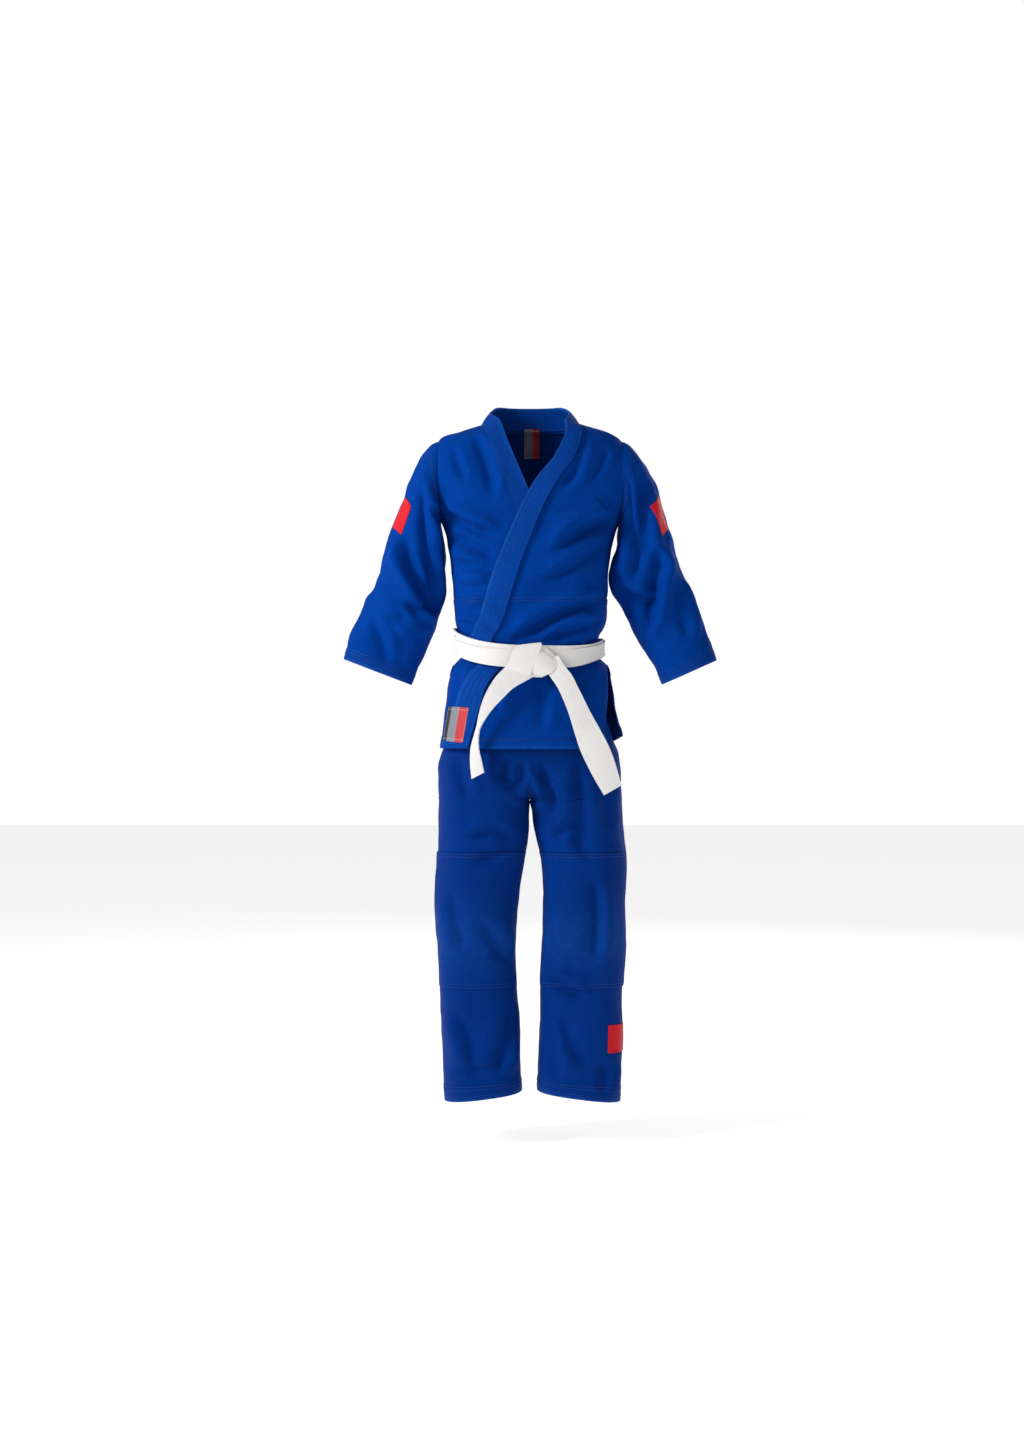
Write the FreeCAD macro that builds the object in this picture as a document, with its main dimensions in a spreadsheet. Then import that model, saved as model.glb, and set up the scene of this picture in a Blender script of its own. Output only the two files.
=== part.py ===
import FreeCAD, Part
import math
import os
from collections import namedtuple

import Sketcher

# A martial arts uniform: wrapped jacket, trousers and a knotted belt, standing as worn.
# Millimetres. +Z is up, the front faces -Y and the wearer's left side is at +X. The origin is
# the middle of the neck opening, at the level of the shoulder seams.
# Every wall of cloth is a closed solid swept through "rings": superellipses at known levels.

Ring = namedtuple("Ring", "x z width depth tilt side")

CLOTH = {
    "fullness": 2.6,             # superellipse exponent of the body and legs
    "sleeve_fullness": 2.2,      # the same for the sleeves
    "jacket_cloth": 2.4,
    "trouser_cloth": 1.6,
    "band_cloth": 5.0,           # the stitched collar and lapel band, many layers thick
    "hem_cloth": 2.8,
    "patch_cloth": 1.0,
    "seam_gap": 0.6,             # left between neighbouring pieces of cloth
    "seam_angle": 0.03,          # half the slit where two panels meet side by side, in degrees
    "tube_slit": 0.12,           # the same where a tube of cloth is sewn shut along one line
}

# Radial place of each layer's outer face, measured from the jacket's nominal surface.
LAYERS = {
    "under_front_layer": -7.4,
    "under_lapel_layer": -2.4,
    "back_layer": -1.6,
    "over_front_layer": 1.6,
    "over_lapel_layer": 7.4,
    "skirt_label_layer": 8.9,
    "inner_wrap_layer": 13.2,
    "outer_wrap_layer": 16.8,
}

# The jacket's body: level, half width and half depth.
TORSO = {
    "neck": (-2, 96, 70),
    "neck_slope": (-8, 120, 77.5),
    "collarbone": (-14, 142, 84),
    "shoulder_slope": (-22, 162, 89.5),
    "shoulder": (-31, 180, 94),
    "shoulder_drop": (-45, 186, 98.5),
    "armhole": (-60, 190, 102),
    "yoke": (-90, 191, 107),
    "sleeve_middle": (-120, 191, 110),
    "upper_chest": (-150, 190, 113),
    "armpit": (-178, 187, 115),
    "lower_armpit": (-210, 178, 117),
    "chest": (-240, 168, 118),
    "lower_chest": (-270, 162, 118),
    "ribs": (-300, 158, 117),
    "lower_ribs": (-327, 156, 116),
    "waist_seam": (-354, 155, 114),
    "blouse": (-395, 151, 112),
    "above_belt": (-425, 141, 106),
    "belt": (-455, 137, 103),
    "below_belt": (-485, 139, 103),
    "vent": (-530, 158, 113),
    "upper_seat": (-565, 164, 116.5),
    "seat": (-600, 170, 120),
    "lower_seat": (-630, 174.6, 122.5),
    "skirt_hem": (-659, 179, 125),
}

# Where the middle of each lapel lies across the front, by level.
OVER_LAPEL = {
    "neck": 78, "neck_slope": 78.5, "collarbone": 79, "shoulder_slope": 79.5,
    "shoulder": 80, "shoulder_drop": 77, "armhole": 73, "yoke": 58,
    "sleeve_middle": 41, "upper_chest": 24, "armpit": 8, "lower_armpit": -7, "chest": -20,
    "lower_chest": -33, "ribs": -45, "lower_ribs": -56, "waist_seam": -65, "blouse": -75,
    "above_belt": -83, "belt": -90, "below_belt": -98, "vent": -110,
    "upper_seat": -119, "seat": -128, "lower_seat": -136.5, "skirt_hem": -145,
}
UNDER_LAPEL = {
    "neck": -75, "neck_slope": -72.5, "collarbone": -70, "shoulder_slope": -68,
    "shoulder": -66, "shoulder_drop": -61, "armhole": -56, "yoke": -45,
    "sleeve_middle": -34, "upper_chest": -20, "armpit": -6, "lower_armpit": 6, "chest": 18,
    "lower_chest": 30, "ribs": 42, "lower_ribs": 51, "waist_seam": 60, "blouse": 70,
    "above_belt": 76, "belt": 82, "below_belt": 90, "vent": 104,
    "upper_seat": 113, "seat": 122, "lower_seat": 129, "skirt_hem": 136,
}

# The collar stand round the back of the neck: level, half width, half depth, and the angle
# that its ends reach past the sides towards the front.
COLLAR = {
    "base": (-1, 93, 69, 36),
    "lower": (13, 87, 66, 24),
    "upper": (28, 77, 62, 8),
    "edge": (40, 61, 56, -14),
}

# Sleeves: distance out, level, half width, half depth and tilt of each ring, per side.
SLEEVES = {
    "right": {
        "cap": (150, -110, 68, 84, 90),
        "head": (192, -112, 70, 84, 86),
        "bend": (207, -155, 80, 82, 72),
        "upper": (214, -222, 84, 77, 57),
        "middle": (231, -285, 76, 70, 34),
        "above_elbow": (241, -321, 71, 66, 24),
        "elbow": (256, -355, 69, 65, 24),
        "below_elbow": (271, -389, 75, 60, 24),
        "forearm": (290, -445, 77, 53, 22),
        "cuff_seam": (303, -481, 75, 48, 21),
        "cuff": (312, -504, 74, 46, 21),
    },
    "left": {
        "cap": (150, -110, 68, 84, 90),
        "head": (192, -112, 70, 84, 86),
        "bend": (207, -155, 80, 82, 72),
        "upper": (214, -222, 84, 77, 57),
        "middle": (232, -285, 76, 70, 34),
        "above_elbow": (241, -322, 71, 66, 24),
        "elbow": (256, -356, 70, 65, 24),
        "below_elbow": (271, -390, 69, 63, 24),
        "forearm": (296, -445, 66, 60, 24),
        "cuff_seam": (314, -482, 62, 58, 24),
        "cuff": (324, -505, 60, 57, 24),
    },
}

# Trousers: level, half width and half depth of the hips, then the legs' rings, per side.
HIPS = {
    "waist_top": (-485, 126, 84),
    "waist_bottom": (-525, 131, 87),
    "hip": (-580, 150, 103),
    "under_skirt": (-664, 168, 111),
    "seat_line": (-684, 183, 112),
    "rise": (-735, 185, 112),
}
LEGS = {
    "right": {
        "crotch": (92.5, -737, 90, 111, 0),
        "thigh_top": (95, -826, 91, 97, 0),
        "thigh": (101, -895, 88, 91, 0),
        "above_knee": (107, -960, 86, 88, 0),
        "below_knee": (109, -1060, 79, 81, 0),
        "calf": (106, -1150, 79, 80, 0),
        "ankle": (100, -1250, 80, 80, -2),
        "hem_seam": (98, -1322, 80, 80, -6),
        "hem": (96.5, -1350, 79, 80, -7),
    },
    "left": {
        "crotch": (92.5, -737, 90, 111, 0),
        "thigh_top": (101, -826, 89, 97, 0),
        "thigh": (107, -895, 85, 91, 0),
        "above_knee": (110, -960, 84, 88, 0),
        "below_knee": (109, -1060, 85, 81, 0),
        "calf": (105, -1150, 86, 80, 0),
        "ankle": (102, -1250, 85, 80, -2),
        "hem_seam": (99, -1326, 86, 80, -5),
        "hem": (98.5, -1354, 85, 80, -6),
    },
}

BELT = {
    "belt_width": 40.0,
    "belt_thickness": 3.2,
    "belt_level": -447.0,        # middle of the belt at the sides and back
    "belt_dip": 36.0,            # how far it drops to the knot in front
    "belt_lean": 14.0,           # the wearer's left side sits this much lower
    "knot_angle": 3.0,           # half the gap behind the knot between the belt's two ends
    "knot_width": 84.0,
    "knot_height": 50.0,
    "knot_thickness": 17.0,
    "knot_round": 7.0,
    "knot_across": 12.0,
    "knot_level": -484.0,
    "knot_turn": 18.0,
    "right_tail_radius": 272.0,
    "right_tail_drop": 205.0,
    "left_tail_radius": 690.0,
    "left_tail_drop": 262.0,
}

TRIM = {
    "lapel_half": 25.0,          # half the lapel band's width across the front
    "band_turn": 3.0,            # each front's edge stops this far inside its lapel band's edge
    "cuff_band": 25.0,
    "armhole_half_height": 74.0,
    "armhole_half_depth": 87.0,
    "armhole_level": -110.0,
    "gusset_side": 62.0,
    "loop_width": 16.0,
    "loop_height": 26.0,
    "loop_strip": 4.0,
    "loop_across": 22.0,
    "neck_label_width": 34.0,
    "neck_label_height": 58.0,
    "neck_label_lean": 27.0,
    "vent_patch_half_angle": 6.0,
    "knee_top": -890.0,
    "knee_bottom": -1142.0,
    "leg_patch_top": -1213.0,
    "leg_patch_bottom": -1273.0,
    "skirt_label_half": 18.0,
    "skirt_label_top": -577.0,
    "skirt_label_bottom": -647.0,
}

BACK = 90.0                      # angles round a ring: 0 is outward, 90 is the back
FRONT = 270.0


class Sizes:
    """The spreadsheet of driving dimensions, one alias to a row."""

    def __init__(self, document):
        self.sheet = document.addObject("Spreadsheet::Sheet", "Sizes")
        self.row = 0

    def put(self, alias, value):
        self.row += 1
        self.sheet.set(f"A{self.row}", alias)
        self.sheet.set(f"B{self.row}", str(value))
        self.sheet.setAlias(f"B{self.row}", alias)

    def put_table(self, prefix, table, columns):
        for station, values in table.items():
            for column, value in zip(columns, values):
                self.put(f"{prefix}_{station}_{column}", value)

    def get(self, alias):
        return float(self.sheet.get(alias))

    def table_row(self, prefix, station, columns):
        return [self.get(f"{prefix}_{station}_{column}") for column in columns]


BODY_COLUMNS = ("level", "width", "depth")
COLLAR_COLUMNS = ("level", "width", "depth", "reach")
LIMB_COLUMNS = ("out", "level", "width", "depth", "tilt")


def fill_sheet(sizes):
    for group in (CLOTH, LAYERS, BELT, TRIM):
        for alias, value in group.items():
            sizes.put(alias, value)
    sizes.put_table("torso", TORSO, BODY_COLUMNS)
    sizes.put_table("hips", HIPS, BODY_COLUMNS)
    sizes.put_table("collar", COLLAR, COLLAR_COLUMNS)
    for side in ("left", "right"):
        sizes.put_table(f"{side}_sleeve", SLEEVES[side], LIMB_COLUMNS)
        sizes.put_table(f"{side}_leg", LEGS[side], LIMB_COLUMNS)
    for name, table in (("over_lapel", OVER_LAPEL), ("under_lapel", UNDER_LAPEL)):
        for station, value in table.items():
            sizes.put(f"{name}_{station}", value)


def body_ring(sizes, prefix, station):
    level, width, depth = sizes.table_row(prefix, station, BODY_COLUMNS)
    return Ring(0.0, level, width, depth, 0.0, 1)


def limb_ring(sizes, limb, side, station):
    out, level, width, depth, tilt = sizes.table_row(f"{side}_{limb}", station, LIMB_COLUMNS)
    return Ring(out, level, width, depth, tilt, 1 if side == "left" else -1)


def between(low, high, share):
    """The ring that lies this share of the way from one ring to another."""
    blend = [a + (b - a) * share for a, b in zip(low[:5], high[:5])]
    return Ring(*blend, low.side)


def at_level(low, high, level):
    return between(low, high, (level - low.z) / (high.z - low.z))


def ring_point(ring, angle, offset, fullness):
    """A point on the ring, moved outward by the offset."""
    turn = math.radians(angle)
    across = math.copysign(abs(math.cos(turn)) ** (2 / fullness), math.cos(turn))
    along = math.copysign(abs(math.sin(turn)) ** (2 / fullness), math.sin(turn))
    across *= ring.width + offset
    along *= ring.depth + offset
    tilt = math.radians(ring.tilt)
    x = ring.x + across * math.cos(tilt)
    return FreeCAD.Vector(ring.side * x, along, ring.z + across * math.sin(tilt))


def front_angle(ring, x, fullness):
    """The angle on the front half of an upright ring where it crosses this x."""
    share = min(1.0, abs(x) / ring.width) ** (fullness / 2)
    return 360.0 - math.degrees(math.acos(math.copysign(share, x)))


def smooth_edge(points):
    curve = Part.BSplineCurve()
    curve.interpolate(points)
    return curve.toShape()


def cloth_section(ring, start, end, inner, outer, fullness, count):
    """The cut edge of one piece of cloth on a ring: two long curves and two short ends."""
    angles = [start + (end - start) * step / (count - 1) for step in range(count)]
    outside = [ring_point(ring, angle, outer, fullness) for angle in angles]
    inside = [ring_point(ring, angle, inner, fullness) for angle in reversed(angles)]
    edges = [
        smooth_edge(outside),
        Part.makeLine(outside[-1], inside[0]),
        smooth_edge(inside),
        Part.makeLine(inside[-1], outside[0]),
    ]
    return Part.Wire(edges)


def cloth_solid(rings, starts, ends, inner, outer, fullness, count=13):
    sections = [
        cloth_section(ring, start, end, inner, outer, fullness, count)
        for ring, start, end in zip(rings, starts, ends)
    ]
    solid = Part.makeLoft(sections, True, True)
    if solid.Volume < 0:
        solid.reverse()
    return solid


def cloth_tube(sizes, rings, seam, outer, cloth, fullness):
    """A tube of cloth, sewn shut along one line."""
    slit = sizes.get("tube_slit")
    starts = [seam + slit] * len(rings)
    ends = [seam + 360.0 - slit] * len(rings)
    return cloth_solid(rings, starts, ends, outer - cloth, outer, fullness, 25)


def add_feature(document, name, shape):
    feature = document.addObject("Part::Feature", name)
    feature.Label = name
    feature.Shape = shape
    feature.Placement = FreeCAD.Placement()
    return feature


def torso_levels(first, last):
    names = list(TORSO)
    return names[names.index(first):names.index(last) + 1]


def lapel_angle(sizes, lapel, station, shift):
    ring = body_ring(sizes, "torso", station)
    middle = sizes.get(f"{lapel}_{station}")
    limit = ring.width - 1.0
    across = max(-limit, min(limit, middle + shift))
    return front_angle(ring, across, sizes.get("fullness"))


def armhole_tool(sizes):
    """Both armholes as one long elliptical bar through the body."""
    height = sizes.get("armhole_half_height")
    depth = sizes.get("armhole_half_depth")
    reach = sizes.get("torso_armhole_width")
    bars = []
    for side in (-1, 1):
        centre = FreeCAD.Vector(side * reach * 0.55, 0, sizes.get("armhole_level"))
        ellipse = Part.Ellipse(centre, depth, height)
        ellipse.Axis = FreeCAD.Vector(1, 0, 0)
        ellipse.XAxis = FreeCAD.Vector(0, 1, 0)
        face = Part.Face(Part.Wire([ellipse.toShape()]))
        bars.append(face.extrude(FreeCAD.Vector(side * reach, 0, 0)))
    return bars[0].fuse(bars[1])


def build_jacket_body(document, sizes):
    """Back, two crossing fronts and the skirts below the waist seam."""
    full = sizes.get("fullness")
    cloth = sizes.get("jacket_cloth")
    gap = sizes.get("seam_angle")
    under_band = sizes.get("lapel_half") - sizes.get("band_turn")
    armholes = armhole_tool(sizes)
    upper = torso_levels("neck", "waist_seam")
    upper_rings = [body_ring(sizes, "torso", station) for station in upper]
    skirt = torso_levels("waist_seam", "skirt_hem")
    seam = sizes.get("seam_gap")
    skirt_rings = [body_ring(sizes, "torso", station) for station in skirt]
    skirt_rings[0] = skirt_rings[0]._replace(z=skirt_rings[0].z - seam)

    def panel(rings, starts, ends, layer):
        outer = sizes.get(layer)
        return cloth_solid(rings, starts, ends, outer - cloth, outer, full, 25)

    back = panel(upper_rings, [gap] * len(upper), [180 - gap] * len(upper), "back_layer")
    add_feature(document, "jacket_back", back.cut(armholes))

    over = [lapel_angle(sizes, "over_lapel", station, -under_band) for station in upper]
    shape = panel(upper_rings, over, [360 - gap] * len(upper), "over_front_layer")
    add_feature(document, "jacket_left_front", shape.cut(armholes))

    under = [lapel_angle(sizes, "under_lapel", station, under_band) for station in upper]
    shape = panel(upper_rings, [180 + gap] * len(upper), under, "under_front_layer")
    add_feature(document, "jacket_right_front", shape.cut(armholes))

    # The over skirt's side edge swings forward as the vent opens towards the hem.
    vents = {"vent": 10.0, "upper_seat": 19.0, "seat": 28.0, "lower_seat": 34.0, "skirt_hem": 40.0}
    over = [lapel_angle(sizes, "over_lapel", station, -under_band) for station in skirt]
    edge = [360 - gap - vents.get(station, 0.0) for station in skirt]
    add_feature(document, "skirt_left_front", panel(skirt_rings, over, edge, "over_front_layer"))

    under = [lapel_angle(sizes, "under_lapel", station, under_band) for station in skirt]
    edge = [180 + gap] * len(skirt)
    add_feature(document, "skirt_right_front", panel(skirt_rings, edge, under, "under_front_layer"))

    top = torso_levels("waist_seam", "below_belt")
    top_rings = skirt_rings[:len(top)]
    shape = panel(top_rings, [gap] * len(top), [180 - gap] * len(top), "back_layer")
    add_feature(document, "skirt_back_top", shape)

    flap = torso_levels("below_belt", "skirt_hem")
    flap_rings = [body_ring(sizes, "torso", station) for station in flap]
    flap_rings[0] = at_level(flap_rings[0], flap_rings[1], flap_rings[0].z - 4.0)
    inset = 7.0
    shape = panel(flap_rings, [inset] * len(flap), [180 - inset] * len(flap), "over_front_layer")
    add_feature(document, "skirt_back_flap", shape)


def build_collar(document, sizes):
    """The stitched band: a stand behind the neck and a lapel down each front to the hem."""
    full = sizes.get("fullness")
    band = sizes.get("band_cloth")
    half = sizes.get("lapel_half")
    rings = []
    starts = []
    ends = []
    for station in COLLAR:
        level, width, depth, reach = sizes.table_row("collar", station, COLLAR_COLUMNS)
        rings.append(Ring(0.0, level, width, depth, 0.0, 1))
        starts.append(-reach)
        ends.append(180.0 + reach)
    add_feature(document, "neck_collar", cloth_solid(rings, starts, ends, -band, 0.0, full, 21))

    for name, lapel, layer, cloth in (
        ("left_lapel", "over_lapel", "over_lapel_layer", band),
        ("right_lapel", "under_lapel", "under_lapel_layer", band - 1.0),
    ):
        stations = torso_levels("neck_slope", "skirt_hem")
        rings = [body_ring(sizes, "torso", station) for station in stations]
        starts = [lapel_angle(sizes, lapel, station, -half) for station in stations]
        ends = [lapel_angle(sizes, lapel, station, half) for station in stations]
        outer = sizes.get(layer)
        add_feature(document, name, cloth_solid(rings, starts, ends, outer - cloth, outer, full, 9))


def build_jacket_trim(document, sizes):
    """Reinforcing patches over the vents and a plain woven label on the skirt."""
    full = sizes.get("fullness")
    patch = sizes.get("patch_cloth")
    half = sizes.get("vent_patch_half_angle")
    low = body_ring(sizes, "torso", "below_belt")
    high = body_ring(sizes, "torso", "belt")
    top = at_level(low, high, low.z + 16.0)
    outer = sizes.get("over_front_layer") + sizes.get("seam_gap") + patch
    for name, middle in (("left_vent_patch", 0.0), ("right_vent_patch", 180.0)):
        starts = [middle - half] * 2
        ends = [middle + half] * 2
        shape = cloth_solid([low, top], starts, ends, outer - patch, outer, full, 5)
        add_feature(document, name, shape)

    seat = body_ring(sizes, "torso", "seat")
    vent = body_ring(sizes, "torso", "vent")
    hem = body_ring(sizes, "torso", "skirt_hem")
    stations = (
        (at_level(vent, seat, sizes.get("skirt_label_top")), 0.67, "vent", "seat"),
        (seat, 0.0, "seat", "seat"),
        (at_level(seat, hem, sizes.get("skirt_label_bottom")), 0.8, "seat", "skirt_hem"),
    )
    half = sizes.get("skirt_label_half")
    rings = []
    starts = []
    ends = []
    for ring, share, first, last in stations:
        begin = sizes.get(f"over_lapel_{first}")
        finish = sizes.get(f"over_lapel_{last}")
        middle = begin + (finish - begin) * share
        rings.append(ring)
        starts.append(front_angle(ring, middle - half, full))
        ends.append(front_angle(ring, middle + half, full))
    outer = sizes.get("skirt_label_layer")
    add_feature(document, "skirt_label", cloth_solid(rings, starts, ends, outer - patch, outer, full, 5))


def belt_middle(sizes, angle):
    """The belt's level at this angle round the waist."""
    turn = math.radians(angle)
    dip = sizes.get("belt_dip") * max(0.0, -math.sin(turn)) ** 1.6
    return sizes.get("belt_level") - dip - sizes.get("belt_lean") * math.cos(turn) / 2


def build_belt_wraps(document, sizes):
    """The belt goes round the waist twice, one turn over the other."""
    full = sizes.get("fullness")
    half = sizes.get("belt_width") / 2
    thick = sizes.get("belt_thickness")
    ring = body_ring(sizes, "torso", "belt")
    gap = sizes.get("knot_angle")
    count = 61
    for name, layer in (("belt_inner_wrap", "inner_wrap_layer"), ("belt_outer_wrap", "outer_wrap_layer")):
        outer = sizes.get(layer)
        sections = []
        for step in range(count):
            angle = FRONT + gap + (360.0 - 2 * gap) * step / (count - 1)
            level = ring._replace(z=belt_middle(sizes, angle))
            inside = ring_point(level, angle, outer - thick, full)
            outside = ring_point(level, angle, outer, full)
            up = FreeCAD.Vector(0, 0, half)
            corners = [inside - up, outside - up, outside + up, inside + up]
            sections.append(Part.makePolygon(corners + corners[:1]))
        solid = Part.makeLoft(sections, True, False)
        if solid.Volume < 0:
            solid.reverse()
        add_feature(document, name, solid)


def build_sleeve(document, sizes, side):
    """One sleeve: shoulder cloth, upper arm, elbow cloth, forearm, cuff band and a patch."""
    full = sizes.get("sleeve_fullness")
    cloth = sizes.get("jacket_cloth")
    hem = sizes.get("hem_cloth")
    seam = sizes.get("seam_gap")
    ring = {station: limb_ring(sizes, "sleeve", side, station) for station in SLEEVES[side]}

    def trimmed(first, last):
        """A ring just past the first one, so that neighbouring tubes stay apart."""
        length = math.hypot(last.x - first.x, last.z - first.z)
        return between(first, last, seam / length)

    def tube(name, rings, thickness):
        shape = cloth_tube(sizes, rings, BACK + 90.0, 0.0, thickness, full)
        add_feature(document, f"{side}_{name}", shape)

    tube("shoulder_cloth", [ring["cap"], ring["head"], ring["bend"], ring["upper"]], cloth)
    start = trimmed(ring["upper"], ring["middle"])
    tube("upper_sleeve", [start, ring["middle"], ring["above_elbow"]], cloth)
    start = trimmed(ring["above_elbow"], ring["elbow"])
    tube("elbow_cloth", [start, ring["elbow"], ring["below_elbow"]], cloth)
    start = trimmed(ring["below_elbow"], ring["forearm"])
    tube("lower_sleeve", [start, ring["forearm"], ring["cuff_seam"]], cloth)
    start = trimmed(ring["cuff_seam"], ring["cuff"])
    tube("cuff_band", [start, ring["cuff"]], hem)

    top = between(ring["upper"], ring["middle"], 0.03)
    bottom = between(ring["upper"], ring["middle"], 0.6)
    patch = sizes.get("patch_cloth")
    outer = patch + seam
    shape = cloth_solid([top, bottom], [-58.0] * 2, [2.0] * 2, outer - patch, outer, full, 7)
    add_feature(document, f"{side}_sleeve_patch", shape)


def build_leg(document, sizes, side):
    """One trouser leg: hip cloth, thigh, knee cloth with its patch, shin and turned hem."""
    full = sizes.get("fullness")
    cloth = sizes.get("trouser_cloth")
    seam = sizes.get("seam_gap")
    ring = {station: limb_ring(sizes, "leg", side, station) for station in LEGS[side]}

    def below(station, other):
        return at_level(ring[station], ring[other], ring[station].z - seam)

    def tube(name, rings, thickness):
        shape = cloth_tube(sizes, rings, BACK + 90.0, 0.0, thickness, full)
        add_feature(document, f"{side}_{name}", shape)

    tube("hip_cloth", [ring["crotch"], ring["thigh_top"]], cloth)
    tube("thigh", [below("thigh_top", "thigh"), ring["thigh"], ring["above_knee"]], cloth)
    tube("knee_cloth", [below("above_knee", "below_knee"), ring["below_knee"]], cloth)
    tube("shin", [below("below_knee", "calf"), ring["calf"], ring["ankle"], ring["hem_seam"]], cloth)
    tube("leg_hem", [below("hem_seam", "hem"), ring["hem"]], sizes.get("hem_cloth"))

    patch = sizes.get("patch_cloth")
    outer = patch + seam
    rings = [
        at_level(ring["thigh_top"], ring["thigh"], sizes.get("knee_top")),
        ring["thigh"],
        ring["above_knee"],
        ring["below_knee"],
        at_level(ring["below_knee"], ring["calf"], sizes.get("knee_bottom")),
    ]
    starts = [FRONT - 72.0] * len(rings)
    ends = [FRONT + 72.0] * len(rings)
    shape = cloth_solid(rings, starts, ends, outer - patch, outer, full)
    add_feature(document, f"{side}_knee_patch", shape)
    return ring


def build_leg_patch(document, sizes, ring):
    """The square patch low on the outside of the wearer's left leg."""
    patch = sizes.get("patch_cloth")
    outer = patch + sizes.get("seam_gap")
    rings = [
        at_level(ring["calf"], ring["ankle"], sizes.get("leg_patch_top")),
        ring["ankle"],
        at_level(ring["ankle"], ring["hem_seam"], sizes.get("leg_patch_bottom")),
    ]
    starts = [-60.0] * len(rings)
    ends = [-4.0] * len(rings)
    shape = cloth_solid(rings, starts, ends, outer - patch, outer, sizes.get("fullness"), 7)
    add_feature(document, "leg_patch", shape)


def build_hips(document, sizes):
    """The waistband and the trousers' left and right hip panels."""
    full = sizes.get("fullness")
    cloth = sizes.get("trouser_cloth")
    band = sizes.get("hem_cloth")
    gap = sizes.get("seam_angle")
    seam = sizes.get("seam_gap")
    rings = [body_ring(sizes, "hips", station) for station in HIPS]
    shape = cloth_tube(sizes, rings[:2], FRONT, 0.0, band, full)
    add_feature(document, "waistband", shape)
    lower = [at_level(rings[1], rings[2], rings[1].z - seam)] + rings[2:]
    for name, middle in (("left_hip_panel", 0.0), ("right_hip_panel", 180.0)):
        starts = [middle - 90.0 + gap] * len(lower)
        ends = [middle + 90.0 - gap] * len(lower)
        add_feature(document, name, cloth_solid(lower, starts, ends, -cloth, 0.0, full))


def origin_plane(body, role):
    return next(item for item in body.Origin.OriginFeatures if item.Role == role)


def rectangle_sketch(body, name, width, height):
    """A rectangle centred on the body's XY plane, its two sizes bound to the sheet."""
    sketch = body.newObject("Sketcher::SketchObject", name)
    sketch.AttachmentSupport = [(origin_plane(body, "XY_Plane"), "")]
    sketch.MapMode = "FlatFace"
    corners = [(-10, -10), (10, -10), (10, 10), (-10, 10)]
    for index in range(4):
        start = FreeCAD.Vector(*corners[index], 0)
        end = FreeCAD.Vector(*corners[(index + 1) % 4], 0)
        sketch.addGeometry(Part.LineSegment(start, end), False)
    for index in range(4):
        sketch.addConstraint(Sketcher.Constraint("Coincident", index, 2, (index + 1) % 4, 1))
    for index in (0, 2):
        sketch.addConstraint(Sketcher.Constraint("Horizontal", index))
        sketch.addConstraint(Sketcher.Constraint("Vertical", index + 1))
    sketch.addConstraint(Sketcher.Constraint("Symmetric", 0, 1, 2, 1, -1, 1))
    for label, kind, line, expression in (
        ("across", "DistanceX", 0, width),
        ("upright", "DistanceY", 1, height),
    ):
        number = sketch.addConstraint(Sketcher.Constraint(kind, line, 1, line, 2, 20.0))
        sketch.renameConstraint(number, label)
        sketch.setExpression(f"Constraints.{label}", expression)
    return sketch


def plate(document, name, width, height, thickness):
    """A body with one padded rectangle."""
    body = document.addObject("PartDesign::Body", name)
    body.Label = name
    sketch = rectangle_sketch(body, f"{name}_outline", width, height)
    pad = body.newObject("PartDesign::Pad", f"{name}_pad")
    pad.Profile = sketch
    pad.setExpression("Length", thickness)
    return body


def placed(body, position, *turns):
    """Put the body at a position, after turning it about each axis by each angle in turn."""
    rotation = FreeCAD.Rotation()
    for axis, angle in turns:
        rotation = FreeCAD.Rotation(FreeCAD.Vector(*axis), angle) * rotation
    body.Placement = FreeCAD.Placement(FreeCAD.Vector(*position), rotation)


UPRIGHT = ((1, 0, 0), 90.0)      # turns a plate's face from +Z to -Y


def build_plates(document, sizes):
    """Flat pieces: the crotch gusset, the neck label and the drawstring's loops."""
    rise = sizes.get("hips_rise_level")
    body = plate(document, "crotch_gusset", "Sizes.gusset_side", "Sizes.gusset_side", "Sizes.trouser_cloth")
    placed(body, (0, 0, rise + sizes.get("seam_gap")), ((0, 0, 1), 45.0))

    body = plate(
        document, "neck_label", "Sizes.neck_label_width", "Sizes.neck_label_height", "Sizes.patch_cloth"
    )
    lean = sizes.get("neck_label_lean")
    middle = -4.0 - sizes.get("neck_label_height") / 2
    placed(body, (5.0, sizes.get("torso_shoulder_depth") - 11.0, middle), UPRIGHT, ((1, 0, 0), lean))

    out = sizes.get("loop_across")
    front = -sizes.get("hips_waist_bottom_depth") - sizes.get("seam_gap")
    level = (sizes.get("hips_waist_top_level") + sizes.get("hips_waist_bottom_level")) / 2
    for name, across in (("left_drawstring_loop", out), ("right_drawstring_loop", -out)):
        body = plate(document, name, "Sizes.loop_width", "Sizes.loop_height", "Sizes.hem_cloth")
        hole = rectangle_sketch(
            body, f"{name}_hole",
            "Sizes.loop_width - 2 * Sizes.loop_strip", "Sizes.loop_height - 2 * Sizes.loop_strip",
        )
        pocket = body.newObject("PartDesign::Pocket", f"{name}_cut")
        pocket.Profile = hole
        pocket.Type = "ThroughAll"
        pocket.Reversed = True
        placed(body, (across, front, level), UPRIGHT)


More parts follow.
